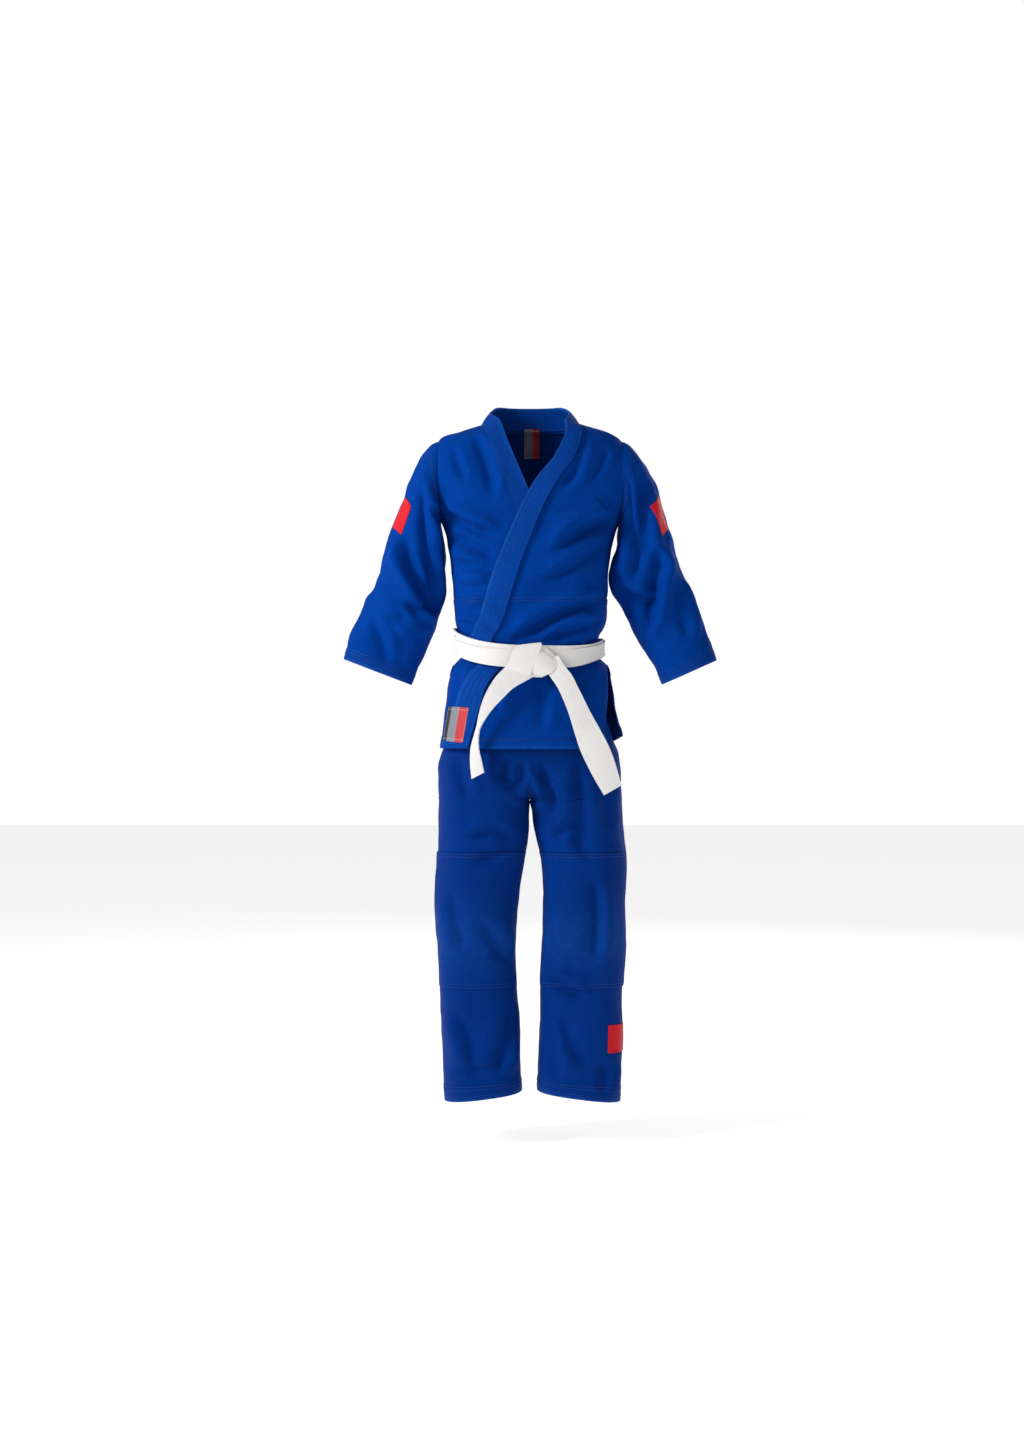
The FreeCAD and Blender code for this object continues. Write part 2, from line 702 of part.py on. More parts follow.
def build_knot(document, sizes):
    """The flat knot, a rounded block that lies over the belt's ends."""
    body = plate(document, "belt_knot", "Sizes.knot_width", "Sizes.knot_height", "Sizes.knot_thickness")
    document.recompute()
    pad = body.Tip
    upright_edges = [
        f"Edge{number}"
        for number, edge in enumerate(pad.Shape.Edges, 1)
        if abs(edge.BoundBox.ZLength - sizes.get("knot_thickness")) < 0.1
    ]
    fillet = body.newObject("PartDesign::Fillet", "belt_knot_round")
    fillet.Base = (pad, upright_edges)
    fillet.setExpression("Radius", "Sizes.knot_round")
    front = -sizes.get("torso_belt_depth") - sizes.get("outer_wrap_layer") - sizes.get("seam_gap")
    position = (sizes.get("knot_across"), front, sizes.get("knot_level"))
    placed(body, position, UPRIGHT, ((0, 1, 0), sizes.get("knot_turn")))


def build_tail(document, sizes, name, radius, drop, bend):
    """A belt end: its section swept down an arc that curls sideways."""
    body = document.addObject("PartDesign::Body", name)
    body.Label = name
    profile = rectangle_sketch(body, f"{name}_section", "Sizes.belt_width", "Sizes.belt_thickness")
    path = body.newObject("Sketcher::SketchObject", f"{name}_path")
    path.AttachmentSupport = [(origin_plane(body, "XZ_Plane"), "")]
    path.MapMode = "FlatFace"
    size = sizes.get(radius)
    fall = sizes.get(drop)
    sweep = math.asin(fall / size)
    centre = FreeCAD.Vector(bend * size, 0, 0)
    circle = Part.Circle(centre, FreeCAD.Vector(0, 0, 1), size)
    if bend > 0:
        arc = Part.ArcOfCircle(circle, math.pi, math.pi + sweep)
        top, bottom = 1, 2
    else:
        arc = Part.ArcOfCircle(circle, -sweep, 0.0)
        top, bottom = 2, 1
    path.addGeometry(arc, False)
    path.addConstraint(Sketcher.Constraint("Coincident", 0, top, -1, 1))
    path.addConstraint(Sketcher.Constraint("PointOnObject", 0, 3, -1))
    number = path.addConstraint(Sketcher.Constraint("Radius", 0, size))
    path.renameConstraint(number, "radius")
    path.setExpression("Constraints.radius", f"Sizes.{radius}")
    number = path.addConstraint(Sketcher.Constraint("DistanceY", 0, bottom, -1, 1, fall))
    path.renameConstraint(number, "drop")
    path.setExpression("Constraints.drop", f"Sizes.{drop}")
    pipe = body.newObject("PartDesign::AdditivePipe", f"{name}_sweep")
    pipe.Profile = profile
    pipe.Spine = (path, ["Edge1"])
    return body


def build_tails(document, sizes):
    """The two loose ends of the belt, hanging from under the knot over the skirt."""
    thick = sizes.get("belt_thickness")
    gap = sizes.get("seam_gap")
    knot_back = -sizes.get("torso_belt_depth") - sizes.get("outer_wrap_layer") - gap
    front = knot_back - sizes.get("knot_thickness") - gap - thick / 2
    body = build_tail(document, sizes, "right_belt_tail", "right_tail_radius", "right_tail_drop", 1)
    placed(body, (-31.0, front, -502.0), ((0, 1, 0), 43.0), ((1, 0, 0), 1.0))
    body = build_tail(document, sizes, "left_belt_tail", "left_tail_radius", "left_tail_drop", -1)
    placed(body, (52.0, front, -497.0), ((0, 1, 0), -35.0), ((1, 0, 0), 1.0))


def check_and_write(document):
    """Stop if any object failed, then write each named piece to its own file."""
    for item in document.Objects:
        if "Invalid" in item.State or "Error" in item.State:
            raise RuntimeError(f"{item.Name} failed: {item.State}")
    os.makedirs("parts", exist_ok=True)
    for item in document.Objects:
        if item.TypeId not in ("Part::Feature", "PartDesign::Body"):
            continue
        shape = item.Shape
        if shape.isNull() or not shape.isValid() or shape.Volume <= 0:
            raise RuntimeError(f"{item.Label} has no valid solid")
        box = shape.BoundBox
        print(f"{item.Label:24s} {len(shape.Solids)} {shape.Volume / 1000:9.2f} cm3"
              f"  x {box.XMin:7.1f} {box.XMax:7.1f}  y {box.YMin:7.1f} {box.YMax:7.1f}"
              f"  z {box.ZMin:8.1f} {box.ZMax:8.1f}")
        shape.exportStep(f"parts/{item.Label}.step")


def main():
    document = FreeCAD.newDocument("uniform")
    sizes = Sizes(document)
    fill_sheet(sizes)
    document.recompute()
    build_jacket_body(document, sizes)
    build_collar(document, sizes)
    build_jacket_trim(document, sizes)
    build_belt_wraps(document, sizes)
    for side in ("left", "right"):
        build_sleeve(document, sizes, side)
    build_hips(document, sizes)
    left_leg = build_leg(document, sizes, "left")
    build_leg(document, sizes, "right")
    build_leg_patch(document, sizes, left_leg)
    build_plates(document, sizes)
    build_knot(document, sizes)
    build_tails(document, sizes)
    document.recompute()
    check_and_write(document)


main()
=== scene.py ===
import math

import bpy
import numpy as np
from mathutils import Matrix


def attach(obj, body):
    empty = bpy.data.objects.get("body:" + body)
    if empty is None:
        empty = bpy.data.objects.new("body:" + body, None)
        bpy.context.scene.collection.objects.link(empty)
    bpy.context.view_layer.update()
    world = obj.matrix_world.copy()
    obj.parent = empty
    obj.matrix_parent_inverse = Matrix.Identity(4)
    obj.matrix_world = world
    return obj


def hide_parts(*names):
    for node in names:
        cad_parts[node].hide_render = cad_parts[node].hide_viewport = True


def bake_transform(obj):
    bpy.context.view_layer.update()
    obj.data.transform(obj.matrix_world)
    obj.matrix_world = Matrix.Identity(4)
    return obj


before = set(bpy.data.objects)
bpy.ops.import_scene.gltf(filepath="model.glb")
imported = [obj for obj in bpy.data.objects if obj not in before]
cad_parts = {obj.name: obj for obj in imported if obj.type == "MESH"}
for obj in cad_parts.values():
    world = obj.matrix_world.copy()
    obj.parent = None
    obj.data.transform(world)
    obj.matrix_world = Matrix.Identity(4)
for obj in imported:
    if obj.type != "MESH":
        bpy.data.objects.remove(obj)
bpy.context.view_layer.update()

# A judo uniform as worn: wrapped jacket, trousers and a knotted belt. Tables are in millimetres
# in the frame of the CAD model (front -Y, up +Z) and become metres as they are read.
# Every piece of cloth is a grid laid on superelliptic rings, pushed in and out by its folds.

MM = 0.001
FRONT = -1
BACK = 1
CLOTH_STEP = 5.0 * MM
JACKET_THICK = 2.2 * MM
TROUSER_THICK = 1.5 * MM
BAND_THICK = 4.6 * MM
BELT_THICK = 3.2 * MM
PATCH_THICK = 1.0 * MM
PATCH_LIFT = 0.4 * MM
LABEL_THREAD = {"pitch": 3.0 * MM, "length": 2.0 * MM, "radius": 0.3 * MM}
PATCH_THREAD = {"pitch": 3.0 * MM, "length": 2.0 * MM, "radius": 0.35 * MM}
BELT_THREAD = {"pitch": 3.6 * MM, "length": 2.6 * MM, "radius": 0.28 * MM}
STITCH_SLIM = 0.825


# ---------------------------------------------------------------- curves, rings and grids

def ease(share):
    share = np.clip(share, 0.0, 1.0)
    return share * share * (3.0 - 2.0 * share)


def through(knots, values, at, loose=False):
    """A smooth curve through the values. Unless it is loose, it never overshoots them."""
    knots = np.asarray(knots, float)
    values = np.asarray(values, float)
    step = np.diff(knots)[:, None]
    slope = np.diff(values, axis=0) / step
    before, after = slope[:-1], slope[1:]
    if loose:
        inner = (before * step[1:] + after * step[:-1]) / (step[1:] + step[:-1])
    else:
        both = before * after
        inner = np.where(both > 0, 2 * both / np.where(both > 0, before + after, 1.0), 0.0)
    tangent = np.vstack([slope[:1], inner, slope[-1:]])
    at = np.clip(at, knots[0], knots[-1])
    left = np.clip(np.searchsorted(knots, at, side="right") - 1, 0, len(knots) - 2)
    size = step[left]
    t = (at - knots[left])[:, None] / size
    start = values[left] * (1 + 2 * t) * (1 - t) ** 2 + tangent[left] * size * t * (1 - t) ** 2
    return start + values[left + 1] * t * t * (3 - 2 * t) + tangent[left + 1] * size * t * t * (t - 1)


def spaced(start, end, step):
    return np.linspace(start, end, max(2, int(abs(end - start) / step) + 1))


class Tube:
    """A surface swept through rings (x, z, half width, half depth, tilt, y), along its length."""

    def __init__(self, rings, side=1, fullness=2.4):
        table = np.array([tuple(ring) + (0.0,) * (6 - len(ring)) for ring in rings], float)
        table[:, [0, 1, 2, 3, 5]] *= MM
        table[:, 4] = np.radians(table[:, 4])
        moved = np.diff(table[:, :3], axis=0)
        self.knots = np.concatenate([[0.0], np.cumsum(np.linalg.norm(moved, axis=1))])
        self.table = table
        self.side = side
        self.fullness = fullness
        self.length = self.knots[-1]

    def ring(self, along):
        return through(self.knots, self.table, np.atleast_1d(along)).T[..., None]

    def points(self, along, angle):
        """Points at these lengths and angles. The two may be any shapes that fit together."""
        along, angle = np.broadcast_arrays(along, angle)
        x, z, width, depth, tilt, y = self.ring(along.ravel()).reshape(6, *along.shape)
        turn = np.radians(angle)
        across = np.sign(np.cos(turn)) * np.abs(np.cos(turn)) ** (2 / self.fullness)
        deep = np.sign(np.sin(turn)) * np.abs(np.sin(turn)) ** (2 / self.fullness)
        out = x + width * across * np.cos(tilt)
        return np.stack(
            [self.side * out, y + depth * deep, z + width * across * np.sin(tilt)], axis=-1
        )

    def front_angle(self, along, x):
        """The angle on the front where each ring crosses this x, for an upright tube."""
        width = self.ring(along)[2][:, 0]
        share = np.clip(np.abs(x) / width, 0.0, 1.0) ** (self.fullness / 2)
        return 360.0 - np.degrees(np.arccos(np.sign(x) * share))


def grid_normals(points, closed=False):
    if closed:
        around = np.roll(points, -1, axis=1) - np.roll(points, 1, axis=1)
    else:
        around = np.gradient(points, axis=1)
    normal = np.cross(around, np.gradient(points, axis=0))
    return normal / (np.linalg.norm(normal, axis=-1, keepdims=True) + 1e-12)


def outward(points, closed=False):
    """Unit normals of a grid of points, facing away from the middle of the body inside it."""
    normal = grid_normals(points, closed)
    away = points - points.mean(axis=1, keepdims=True)
    return normal if (normal * away).sum() > 0 else -normal


def ripple(points, seed, size, waves=14):
    """Smooth random waves of about this size, between about -1 and 1."""
    chance = np.random.RandomState(seed)
    height = np.zeros(points.shape[:-1])
    for _ in range(waves):
        heading = chance.normal(size=3)
        heading /= np.linalg.norm(heading)
        pitch = size * chance.uniform(0.6, 1.7)
        height += np.sin(points @ heading * (2 * math.pi / pitch) + chance.uniform(0, 2 * math.pi))
    return height / math.sqrt(waves)


def fold_height(points, normal, folds):
    """How far folds push the cloth out. A fold is (depth, width, ridge, side, line): a line on
    the front or back view, the valley's depth and half width, and the height of the ridge beside
    it as a share of the depth, on the line's left when positive and on its right when negative."""
    height = np.zeros(points.shape[:-1])
    for depth, width, ridge, side, line in folds:
        facing = ease((side * normal[..., 1] - 0.05) / 0.55)
        nearest = np.full(points.shape[:-1], 1e9)
        offset = np.zeros(points.shape[:-1])
        passed = np.zeros(points.shape[:-1])
        line = np.array(line, float) * MM
        lengths = np.linalg.norm(np.diff(line, axis=0), axis=1)
        total = lengths.sum()
        done = 0.0
        for start, end, length in zip(line[:-1], line[1:], lengths):
            dx, dz = (end - start) / length
            px = points[..., 0] - start[0]
            pz = points[..., 2] - start[1]
            t = np.clip(px * dx + pz * dz, 0.0, length)
            gap = np.hypot(px - t * dx, pz - t * dz)
            closer = gap < nearest
            nearest = np.where(closer, gap, nearest)
            offset = np.where(closer, np.sign(dx * pz - dz * px) * gap, offset)
            passed = np.where(closer, done + t, passed)
            done += length
        taper = ease(passed / (0.3 * total)) * ease((total - passed) / (0.3 * total))
        swell = 0.6 + 0.4 * taper
        w = width * MM * swell
        valley = -np.exp(-((nearest / w) ** 2))
        beside = abs(ridge) * np.exp(-(((offset * np.sign(ridge or 1) - 1.7 * w) / (1.25 * w)) ** 2))
        height += depth * MM * (valley + beside) * taper * facing
    return height


# ---------------------------------------------------------------- meshes

class Piece:
    """Collects quads for one object, in several materials, then builds its mesh."""

    def __init__(self, name):
        self.name = name
        self.points = []
        self.quads = []
        self.cloth_uv = []
        self.slots = []
        self.wear = []
        self.shading = []
        self.creases = []
        self.count = 0

    def add(self, points, quads, uv, slot, wear, shading=None):
        self.points.append(points.reshape(-1, 3))
        self.quads.append(quads + self.count)
        self.cloth_uv.append(uv.reshape(-1, 2))
        self.slots.append(np.full(len(quads), slot))
        self.wear.append(np.broadcast_to(wear, points.shape[:-1]).reshape(-1))
        flat = points.reshape(-1, 3)[quads]
        if shading is None:
            shading = np.cross(flat[:, 2] - flat[:, 0], flat[:, 3] - flat[:, 1])[:, None]
        self.shading.append(np.broadcast_to(shading, flat.shape))
        self.count += points.size // 3

    def sheet(self, outer, inner, closed=False, slot=0, wear=0.0, shade=None):
        """Two layers of the same grid, joined along every open edge. A grid that is one part of
        a longer one brings its own normals, so that its shading runs on across the join."""
        rows, columns = outer.shape[:2]
        index = np.arange(rows * columns).reshape(rows, columns)
        right = np.roll(index, -1, axis=1) if closed else index[:, 1:]
        left = index if closed else index[:, :-1]
        face = np.stack([left[:-1], right[:-1], right[1:], left[1:]], -1).reshape(-1, 4)
        back = face[:, ::-1] + rows * columns
        quads = [face, back]
        rims = [(left[0], right[0], 1), (left[-1], right[-1], 0)]
        if not closed:
            rims += [(index[:-1, 0], index[1:, 0], 0), (index[:-1, -1], index[1:, -1], 1)]
        for a, b, flip in rims:
            rim = np.stack([a, a + rows * columns, b + rows * columns, b], -1)
            quads.append(rim[:, ::-1] if flip else rim)
            edge = np.stack([a, b], -1) + self.count
            self.creases += [edge, edge + rows * columns]
        across = np.linalg.norm(np.diff(outer, axis=1), axis=-1)
        across = np.concatenate([np.zeros((rows, 1)), np.cumsum(across, axis=1)], axis=1)
        down = np.linalg.norm(np.diff(outer, axis=0), axis=-1)
        down = np.concatenate([np.zeros((1, columns)), np.cumsum(down, axis=0)], axis=0)
        middle = columns // 2
        across = across - across[:, middle:middle + 1]
        uv = np.stack([across, np.broadcast_to(down[:, middle:middle + 1], across.shape)], -1)
        if shade is None:
            shade = grid_normals(outer, closed)
        if (grid_normals(outer, closed) * (outer - inner)).sum() < 0:
            quads = [part[:, ::-1] for part in quads]
        if (shade * (outer - inner)).sum() < 0:
            shade = -shade
        smooth = np.stack([shade, -shade]).reshape(-1, 3)
        flat = np.stack([outer, inner]).reshape(-1, 3)
        shading = [smooth[part] for part in quads[:2]]
        for part in quads[2:]:
            corner = flat[part]
            across_rim = np.cross(corner[:, 2] - corner[:, 0], corner[:, 3] - corner[:, 1])
            shading.append(np.repeat(across_rim[:, None], 4, axis=1))
        shading = np.concatenate(shading)
        both = np.stack([outer, inner])
        edge = np.stack([np.broadcast_to(wear, outer.shape[:2])] * 2)
        self.add(both, np.concatenate(quads), np.stack([uv, uv]), slot, edge, shading)

    def stitches(self, line, normal, slot=1, pitch=4.2 * MM, length=3.0 * MM, radius=0.5 * MM):
        """A row of thread stitches along a line of points."""
        steps = np.linalg.norm(np.diff(line, axis=0), axis=1)
        run = np.concatenate([[0.0], np.cumsum(steps)])
        starts = np.arange(pitch / 2, run[-1] - length, pitch)
        if len(starts) == 0:
            return

        def at(places, values):
            return np.stack([np.interp(places, run, values[:, k]) for k in range(3)], -1)

        a = at(starts, line)
        b = at(starts + length, line)
        up = at(starts + length / 2, normal)
        up /= np.linalg.norm(up, axis=1, keepdims=True) + 1e-12
        ahead = b - a
        ahead /= np.linalg.norm(ahead, axis=1, keepdims=True) + 1e-12
        side = np.cross(up, ahead)
        corners = []
        for end in (a, b):
            for s, h in ((-1, 0.0), (1, 0.0), (0.7, 1.0), (-0.7, 1.0)):
                corners.append(end + side * (s * radius * STITCH_SLIM) + up * (h * radius))
        points = np.stack(corners, axis=1)
        box = np.array(
            [[0, 1, 2, 3], [7, 6, 5, 4], [0, 4, 5, 1], [1, 5, 6, 2], [2, 6, 7, 3], [3, 7, 4, 0]]
        )
        quads = (box[None] + 8 * np.arange(len(starts))[:, None, None]).reshape(-1, 4)
        self.add(points, quads, np.zeros(points.shape[:-1] + (2,)), slot, 0.0)

    def stitch_rows(self, grid, normal, values, marks, closed=False, raised=0.0):
        """Stitches across a grid, at these values of its rows' own coordinate."""
        for mark in marks:
            line = row_at(grid, values, mark)
            up = row_at(normal, values, mark)
            if closed:
                line = np.vstack([line, line[:1]])
                up = np.vstack([up, up[:1]])
            self.stitches(line + up * raised, up)

    def stitch_columns(self, grid, normal, marks, keep=slice(None), raised=0.0, **thread):
        """Stitches along a grid, at these shares of the way across it."""
        for share in marks:
            up = line_at(normal, share)[keep]
            self.stitches(line_at(grid, share)[keep] + up * raised, up, **thread)

    def stitch_edges(self, grid, normal, **thread):
        """Stitches just inside the four edges of a grid."""
        for index in (1, -2):
            self.stitches(grid[index], normal[index], **thread)
            self.stitches(grid[:, index], normal[:, index], **thread)

    def mark_creases(self, mesh, count):
        """The corners between a layer and its rim are sharp, so that neither shades the other."""
        ends = np.empty(2 * len(mesh.edges), np.int32)
        mesh.edges.foreach_get("vertices", ends)
        ends = np.sort(ends.reshape(-1, 2), axis=1).astype(np.int64)
        crease = np.sort(np.concatenate(self.creases), axis=1)
        sharp = np.isin(ends[:, 0] * count + ends[:, 1], crease[:, 0] * count + crease[:, 1])
        mesh.attributes.new("sharp_edge", "BOOLEAN", "EDGE").data.foreach_set("value", sharp)

    def build(self, materials):
        points = np.concatenate(self.points)
        quads = np.concatenate(self.quads)
        mesh = bpy.data.meshes.new(self.name)
        mesh.vertices.add(len(points))
        mesh.vertices.foreach_set("co", points.astype(np.float32).ravel())
        mesh.loops.add(quads.size)
        mesh.loops.foreach_set("vertex_index", quads.astype(np.int32).ravel())
        mesh.polygons.add(len(quads))
        mesh.polygons.foreach_set("loop_start", np.arange(0, quads.size, 4, dtype=np.int32))
        mesh.polygons.foreach_set("material_index", np.concatenate(self.slots).astype(np.int32))
        mesh.polygons.foreach_set("use_smooth", np.ones(len(quads), bool))
        uv = mesh.uv_layers.new(name="cloth")
        cloth_uv = np.concatenate(self.cloth_uv)[quads.ravel()]
        uv.data.foreach_set("uv", cloth_uv.astype(np.float32).ravel())
        wear = mesh.attributes.new("wear", "FLOAT", "POINT")
        wear.data.foreach_set("value", np.concatenate(self.wear).astype(np.float32))
        mesh.update(calc_edges=True)
        self.mark_creases(mesh, len(points))
        shading = np.concatenate(self.shading).reshape(-1, 3)
        shading = shading / (np.linalg.norm(shading, axis=1, keepdims=True) + 1e-12)
        mesh.normals_split_custom_set(shading.tolist())
        for material in materials:
            mesh.materials.append(material)
        piece = bpy.data.objects.new(f"{self.name}_sewn", mesh)
        bpy.context.scene.collection.objects.link(piece)
        return piece

    def place(self, materials, slot, nodes, *bodies, **hinge):
        """Builds the piece in place of these CAD nodes: parented to its one body, or, given a hinge,
        with its transform baked in.
        """
        shape = self.build(materials)
        if hinge:
            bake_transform(shape)
        else:
            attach(shape, *bodies)
        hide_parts(*nodes)
        return shape


def shares(count, edge):
    """Even steps from 0 to 1, with one more step close to each end so that the edge stays crisp."""
    even = np.linspace(0.0, 1.0, count)
    return np.concatenate([[0.0, edge], even[1:-1], [1.0 - edge, 1.0]])


def line_at(grid, share):
    """The line of points this share of the way across a grid's columns."""
    place = share * (grid.shape[1] - 1)
    left = min(int(place), grid.shape[1] - 2)
    return grid[:, left] + (grid[:, left + 1] - grid[:, left]) * (place - left)


def row_at(grid, values, value):
    """The line across a grid at this value of its rows' own coordinate."""
    row = np.interp(value, values, np.arange(len(values)))
    low = min(int(row), len(values) - 2)
    return grid[low] + (grid[low + 1] - grid[low]) * (row - low)


def mirrored(folds):
    """The same folds on the body's other side."""
    return [
        (depth, width, -ridge, side, [(-x, z) for x, z in line])
        for depth, width, ridge, side, line in folds
    ]


# ---------------------------------------------------------------- the jacket's body

FULL = 2.6
ARM_X = 186.0 * MM
ARM_Z = -110.0 * MM
ARM_HIGH = 77.0 * MM
ARM_DEEP = 74.0 * MM
ARM_FULL = 2.2
BELT_DIP = 34.0 * MM

# Level, half width and half depth. The belt draws the body in and it flares out below.
TORSO = [
    (-2, 103, 70),
    (-14, 141, 84),
    (-31, 184, 94),
    (-60, 190, 102),
    (-120, 190, 110),
    (-187, 186, 116),
    (-208, 178, 118),
    (-240, 168, 119),
    (-300, 159, 118),
    (-354, 156, 115),
    (-395, 155, 113),
    (-418, 149, 109),
    (-434, 140, 104.5),
    (-452, 137, 103),
    (-470, 139, 104),
    (-486, 154, 109),
    (-505, 161, 112),
    (-530, 164, 114.5),
    (-569, 167, 117.5),
    (-600, 171, 120.5),
    (-661, 183, 126),
]
OVER_LIFT = 1.6 * MM
UNDER_LIFT = -6.8 * MM
OVER_BAND_LIFT = 7.4 * MM
UNDER_BAND_LIFT = -1.8 * MM
WAIST_SEAM = -354
VENT_TOP = -489
SKIRT_HEM = -659
BELT_LEVEL = -452
NECK_LEVEL = -2
HEM_DEEP = 24
SEAM_DEEP = 12
BODY_STITCHES = np.array([WAIST_SEAM - 4.0, WAIST_SEAM - 10.0, SKIRT_HEM + 20.0, SKIRT_HEM + 16.0])


class Torso(Tube):
    """The jacket's body, wide enough at each armhole to end on the sleeve's first ring."""

    def ring(self, along):
        found = super().ring(along)
        level = found[1]
        share = np.clip(np.abs(level - ARM_Z) / ARM_HIGH, 0.0, 1.0)
        hole = ARM_DEEP * (1 - share ** ARM_FULL) ** (1 / ARM_FULL)
        wide = ARM_X / (1 - (hole / found[3]) ** FULL) ** (1 / FULL)
        found[2] = np.where(share < 1.0, wide, found[2])
        return found

    def side_angle(self, along):
        """Where each ring meets the armhole, counted from the side: 0 away from the armhole."""
        level, width = self.ring(along)[1:3, :, 0]
        inside = np.abs(level - ARM_Z) < ARM_HIGH
        share = np.clip(ARM_X / width, 0.0, 1.0) ** (FULL / 2)
        return np.where(inside, np.degrees(np.arccos(share)), 0.0)

    def points(self, along, angle):
        """The belt lies lower in front, so there the body is drawn in lower too."""
        along, angle = np.broadcast_arrays(along, angle)
        dip = BELT_DIP * np.maximum(0.0, -np.sin(np.radians(angle))) ** 1.6
        level = self.ring(along.ravel())[1].reshape(along.shape)
        near = ease((level + 0.56) / 0.05) * ease((-0.36 - level) / 0.05)
        moved = np.interp(-level - dip * near, -self.levels, self.fine)
        shape = super().points(moved, angle)
        shape[..., 2] = level
        return shape

    def __init__(self, rings):
        super().__init__([(0, z, width, depth) for z, width, depth in rings], 1, FULL)
        self.fine = np.linspace(0.0, self.length, 2000)
        self.levels = self.ring(self.fine)[1][:, 0]

    def along(self, level):
        return np.interp(-np.asarray(level) * MM, -self.levels, self.fine)


torso = Torso(TORSO)
arm_levels = (ARM_Z + ARM_HIGH * np.cos(np.linspace(0.0, math.pi, 37)))[1:-1] / MM
BODY_ROWS = np.concatenate([
    spaced(0.0, torso.along(-33), CLOTH_STEP),
    torso.along(arm_levels),
    spaced(torso.along(-187), torso.along(SKIRT_HEM), CLOTH_STEP),
    [torso.along(SKIRT_HEM + 1.2), torso.along(SKIRT_HEM + 22.0)],
])
BODY_ROWS = np.unique(np.round(BODY_ROWS, 6))
BODY_LEVELS = torso.ring(BODY_ROWS)[1][:, 0] / MM

# Lapel edges on the front by level: the free edge, then the edge sewn to the front.
OVER_LAPEL = [
    (0, 72, 101),
    (-25, 69, 102),
    (-48, 62, 98),
    (-74, 47, 88),
    (-90, 37, 78),
    (-116, 14, 58),
    (-158, -11, 34),
    (-226, -42, 4),
    (-299, -71, -23),
    (-378, -93, -47),
    (-435, -105, -62),
    (-500, -124, -79),
    (-580, -147, -100),
    (-659, -173, -123),
]
UNDER_LAPEL = [
    (0, -61, -94),
    (-38, -47, -84),
    (-80, -30, -70),
    (-142, -4, -45),
    (-179, 11, -30),
    (-240, 38, -4),
    (-300, 62, 20),
    (-354, 80, 38),
    (-420, 97, 53),
    (-500, 117, 74),
    (-580, 140, 98),
    (-659, 158, 116),
]


def edge_x(table, level, which):
    table = np.array(table, float)[::-1]
    return through(table[:, 0], table[:, which:which + 1], np.atleast_1d(level), loose=True)[:, 0]


BODY_FOLD_SCALE = 2.2
# Folds of the jacket's body, seen from the front unless they say BACK.
BODY_FOLDS = [
    (5.0, 13, 0.5, FRONT, [(-118, -14), (-100, -60), (-84, -105), (-73, -165)]),
    (8.0, 13, 0.7, FRONT, [(-186, -168), (-166, -196), (-120, -222), (-60, -236)]),
    (6.5, 12, -0.6, FRONT, [(-170, -226), (-140, -244), (-110, -262), (-62, -284)]),
    (4.5, 10, -0.6, FRONT, [(-160, -285), (-120, -292), (-85, -300), (-60, -318)]),
    (3.5, 9, 0.5, FRONT, [(-158, -330), (-120, -338), (-80, -334)]),
    (6.0, 11, 0.6, FRONT, [(-150, -372), (-118, -384), (-90, -404), (-60, -430)]),
    (8.0, 14, -0.7, FRONT, [(186, -168), (160, -200), (110, -219), (36, -273)]),
    (5.0, 12, -0.5, FRONT, [(172, -232), (130, -262), (80, -300), (20, -330)]),
    (5.0, 12, 0.5, FRONT, [(112, -22), (96, -60), (86, -106), (60, -150)]),
    (3.5, 10, 0.4, FRONT, [(158, -48), (140, -90), (116, -128)]),
    (3.5, 10, 0.4, FRONT, [(-158, -48), (-146, -90), (-128, -130)]),
    (9.0, 13, 0.7, FRONT, [(-46, -452), (0, -424), (60, -392), (130, -362), (156, -352)]),
    (6.0, 11, 0.6, FRONT, [(20, -452), (70, -428), (110, -414), (148, -400)]),
    (5.0, 10, 0.5, FRONT, [(-146, -402), (-120, -414), (-96, -438)]),
    (5.0, 12, 0.6, FRONT, [(-52, -500), (-64, -540), (-70, -600)]),
    (6.0, 13, -0.6, FRONT, [(70, -498), (92, -548), (106, -620)]),
    (4.0, 12, 0.5, FRONT, [(18, -515), (24, -565), (20, -630)]),
    (5.0, 11, 0.6, FRONT, [(-132, -484), (-150, -530), (-160, -590)]),
    (7.0, 16, 0.7, BACK, [(-150, -90), (-110, -150), (-90, -230), (-96, -310)]),
    (7.0, 16, -0.7, BACK, [(150, -90), (112, -150), (92, -230), (98, -310)]),
    (6.0, 14, 0.6, BACK, [(-60, -330), (-20, -372), (40, -392), (110, -384)]),
    (5.0, 13, 0.5, BACK, [(-130, -350), (-100, -392), (-88, -430)]),
    (5.0, 13, 0.5, BACK, [(60, -400), (66, -440), (60, -470)]),
    (6.0, 14, 0.6, BACK, [(-70, -480), (-84, -540), (-92, -620)]),
    (6.0, 14, -0.6, BACK, [(64, -480), (80, -550), (88, -640)]),
    (4.0, 14, 0.5, BACK, [(-6, -480), (2, -560), (-4, -630)]),
]


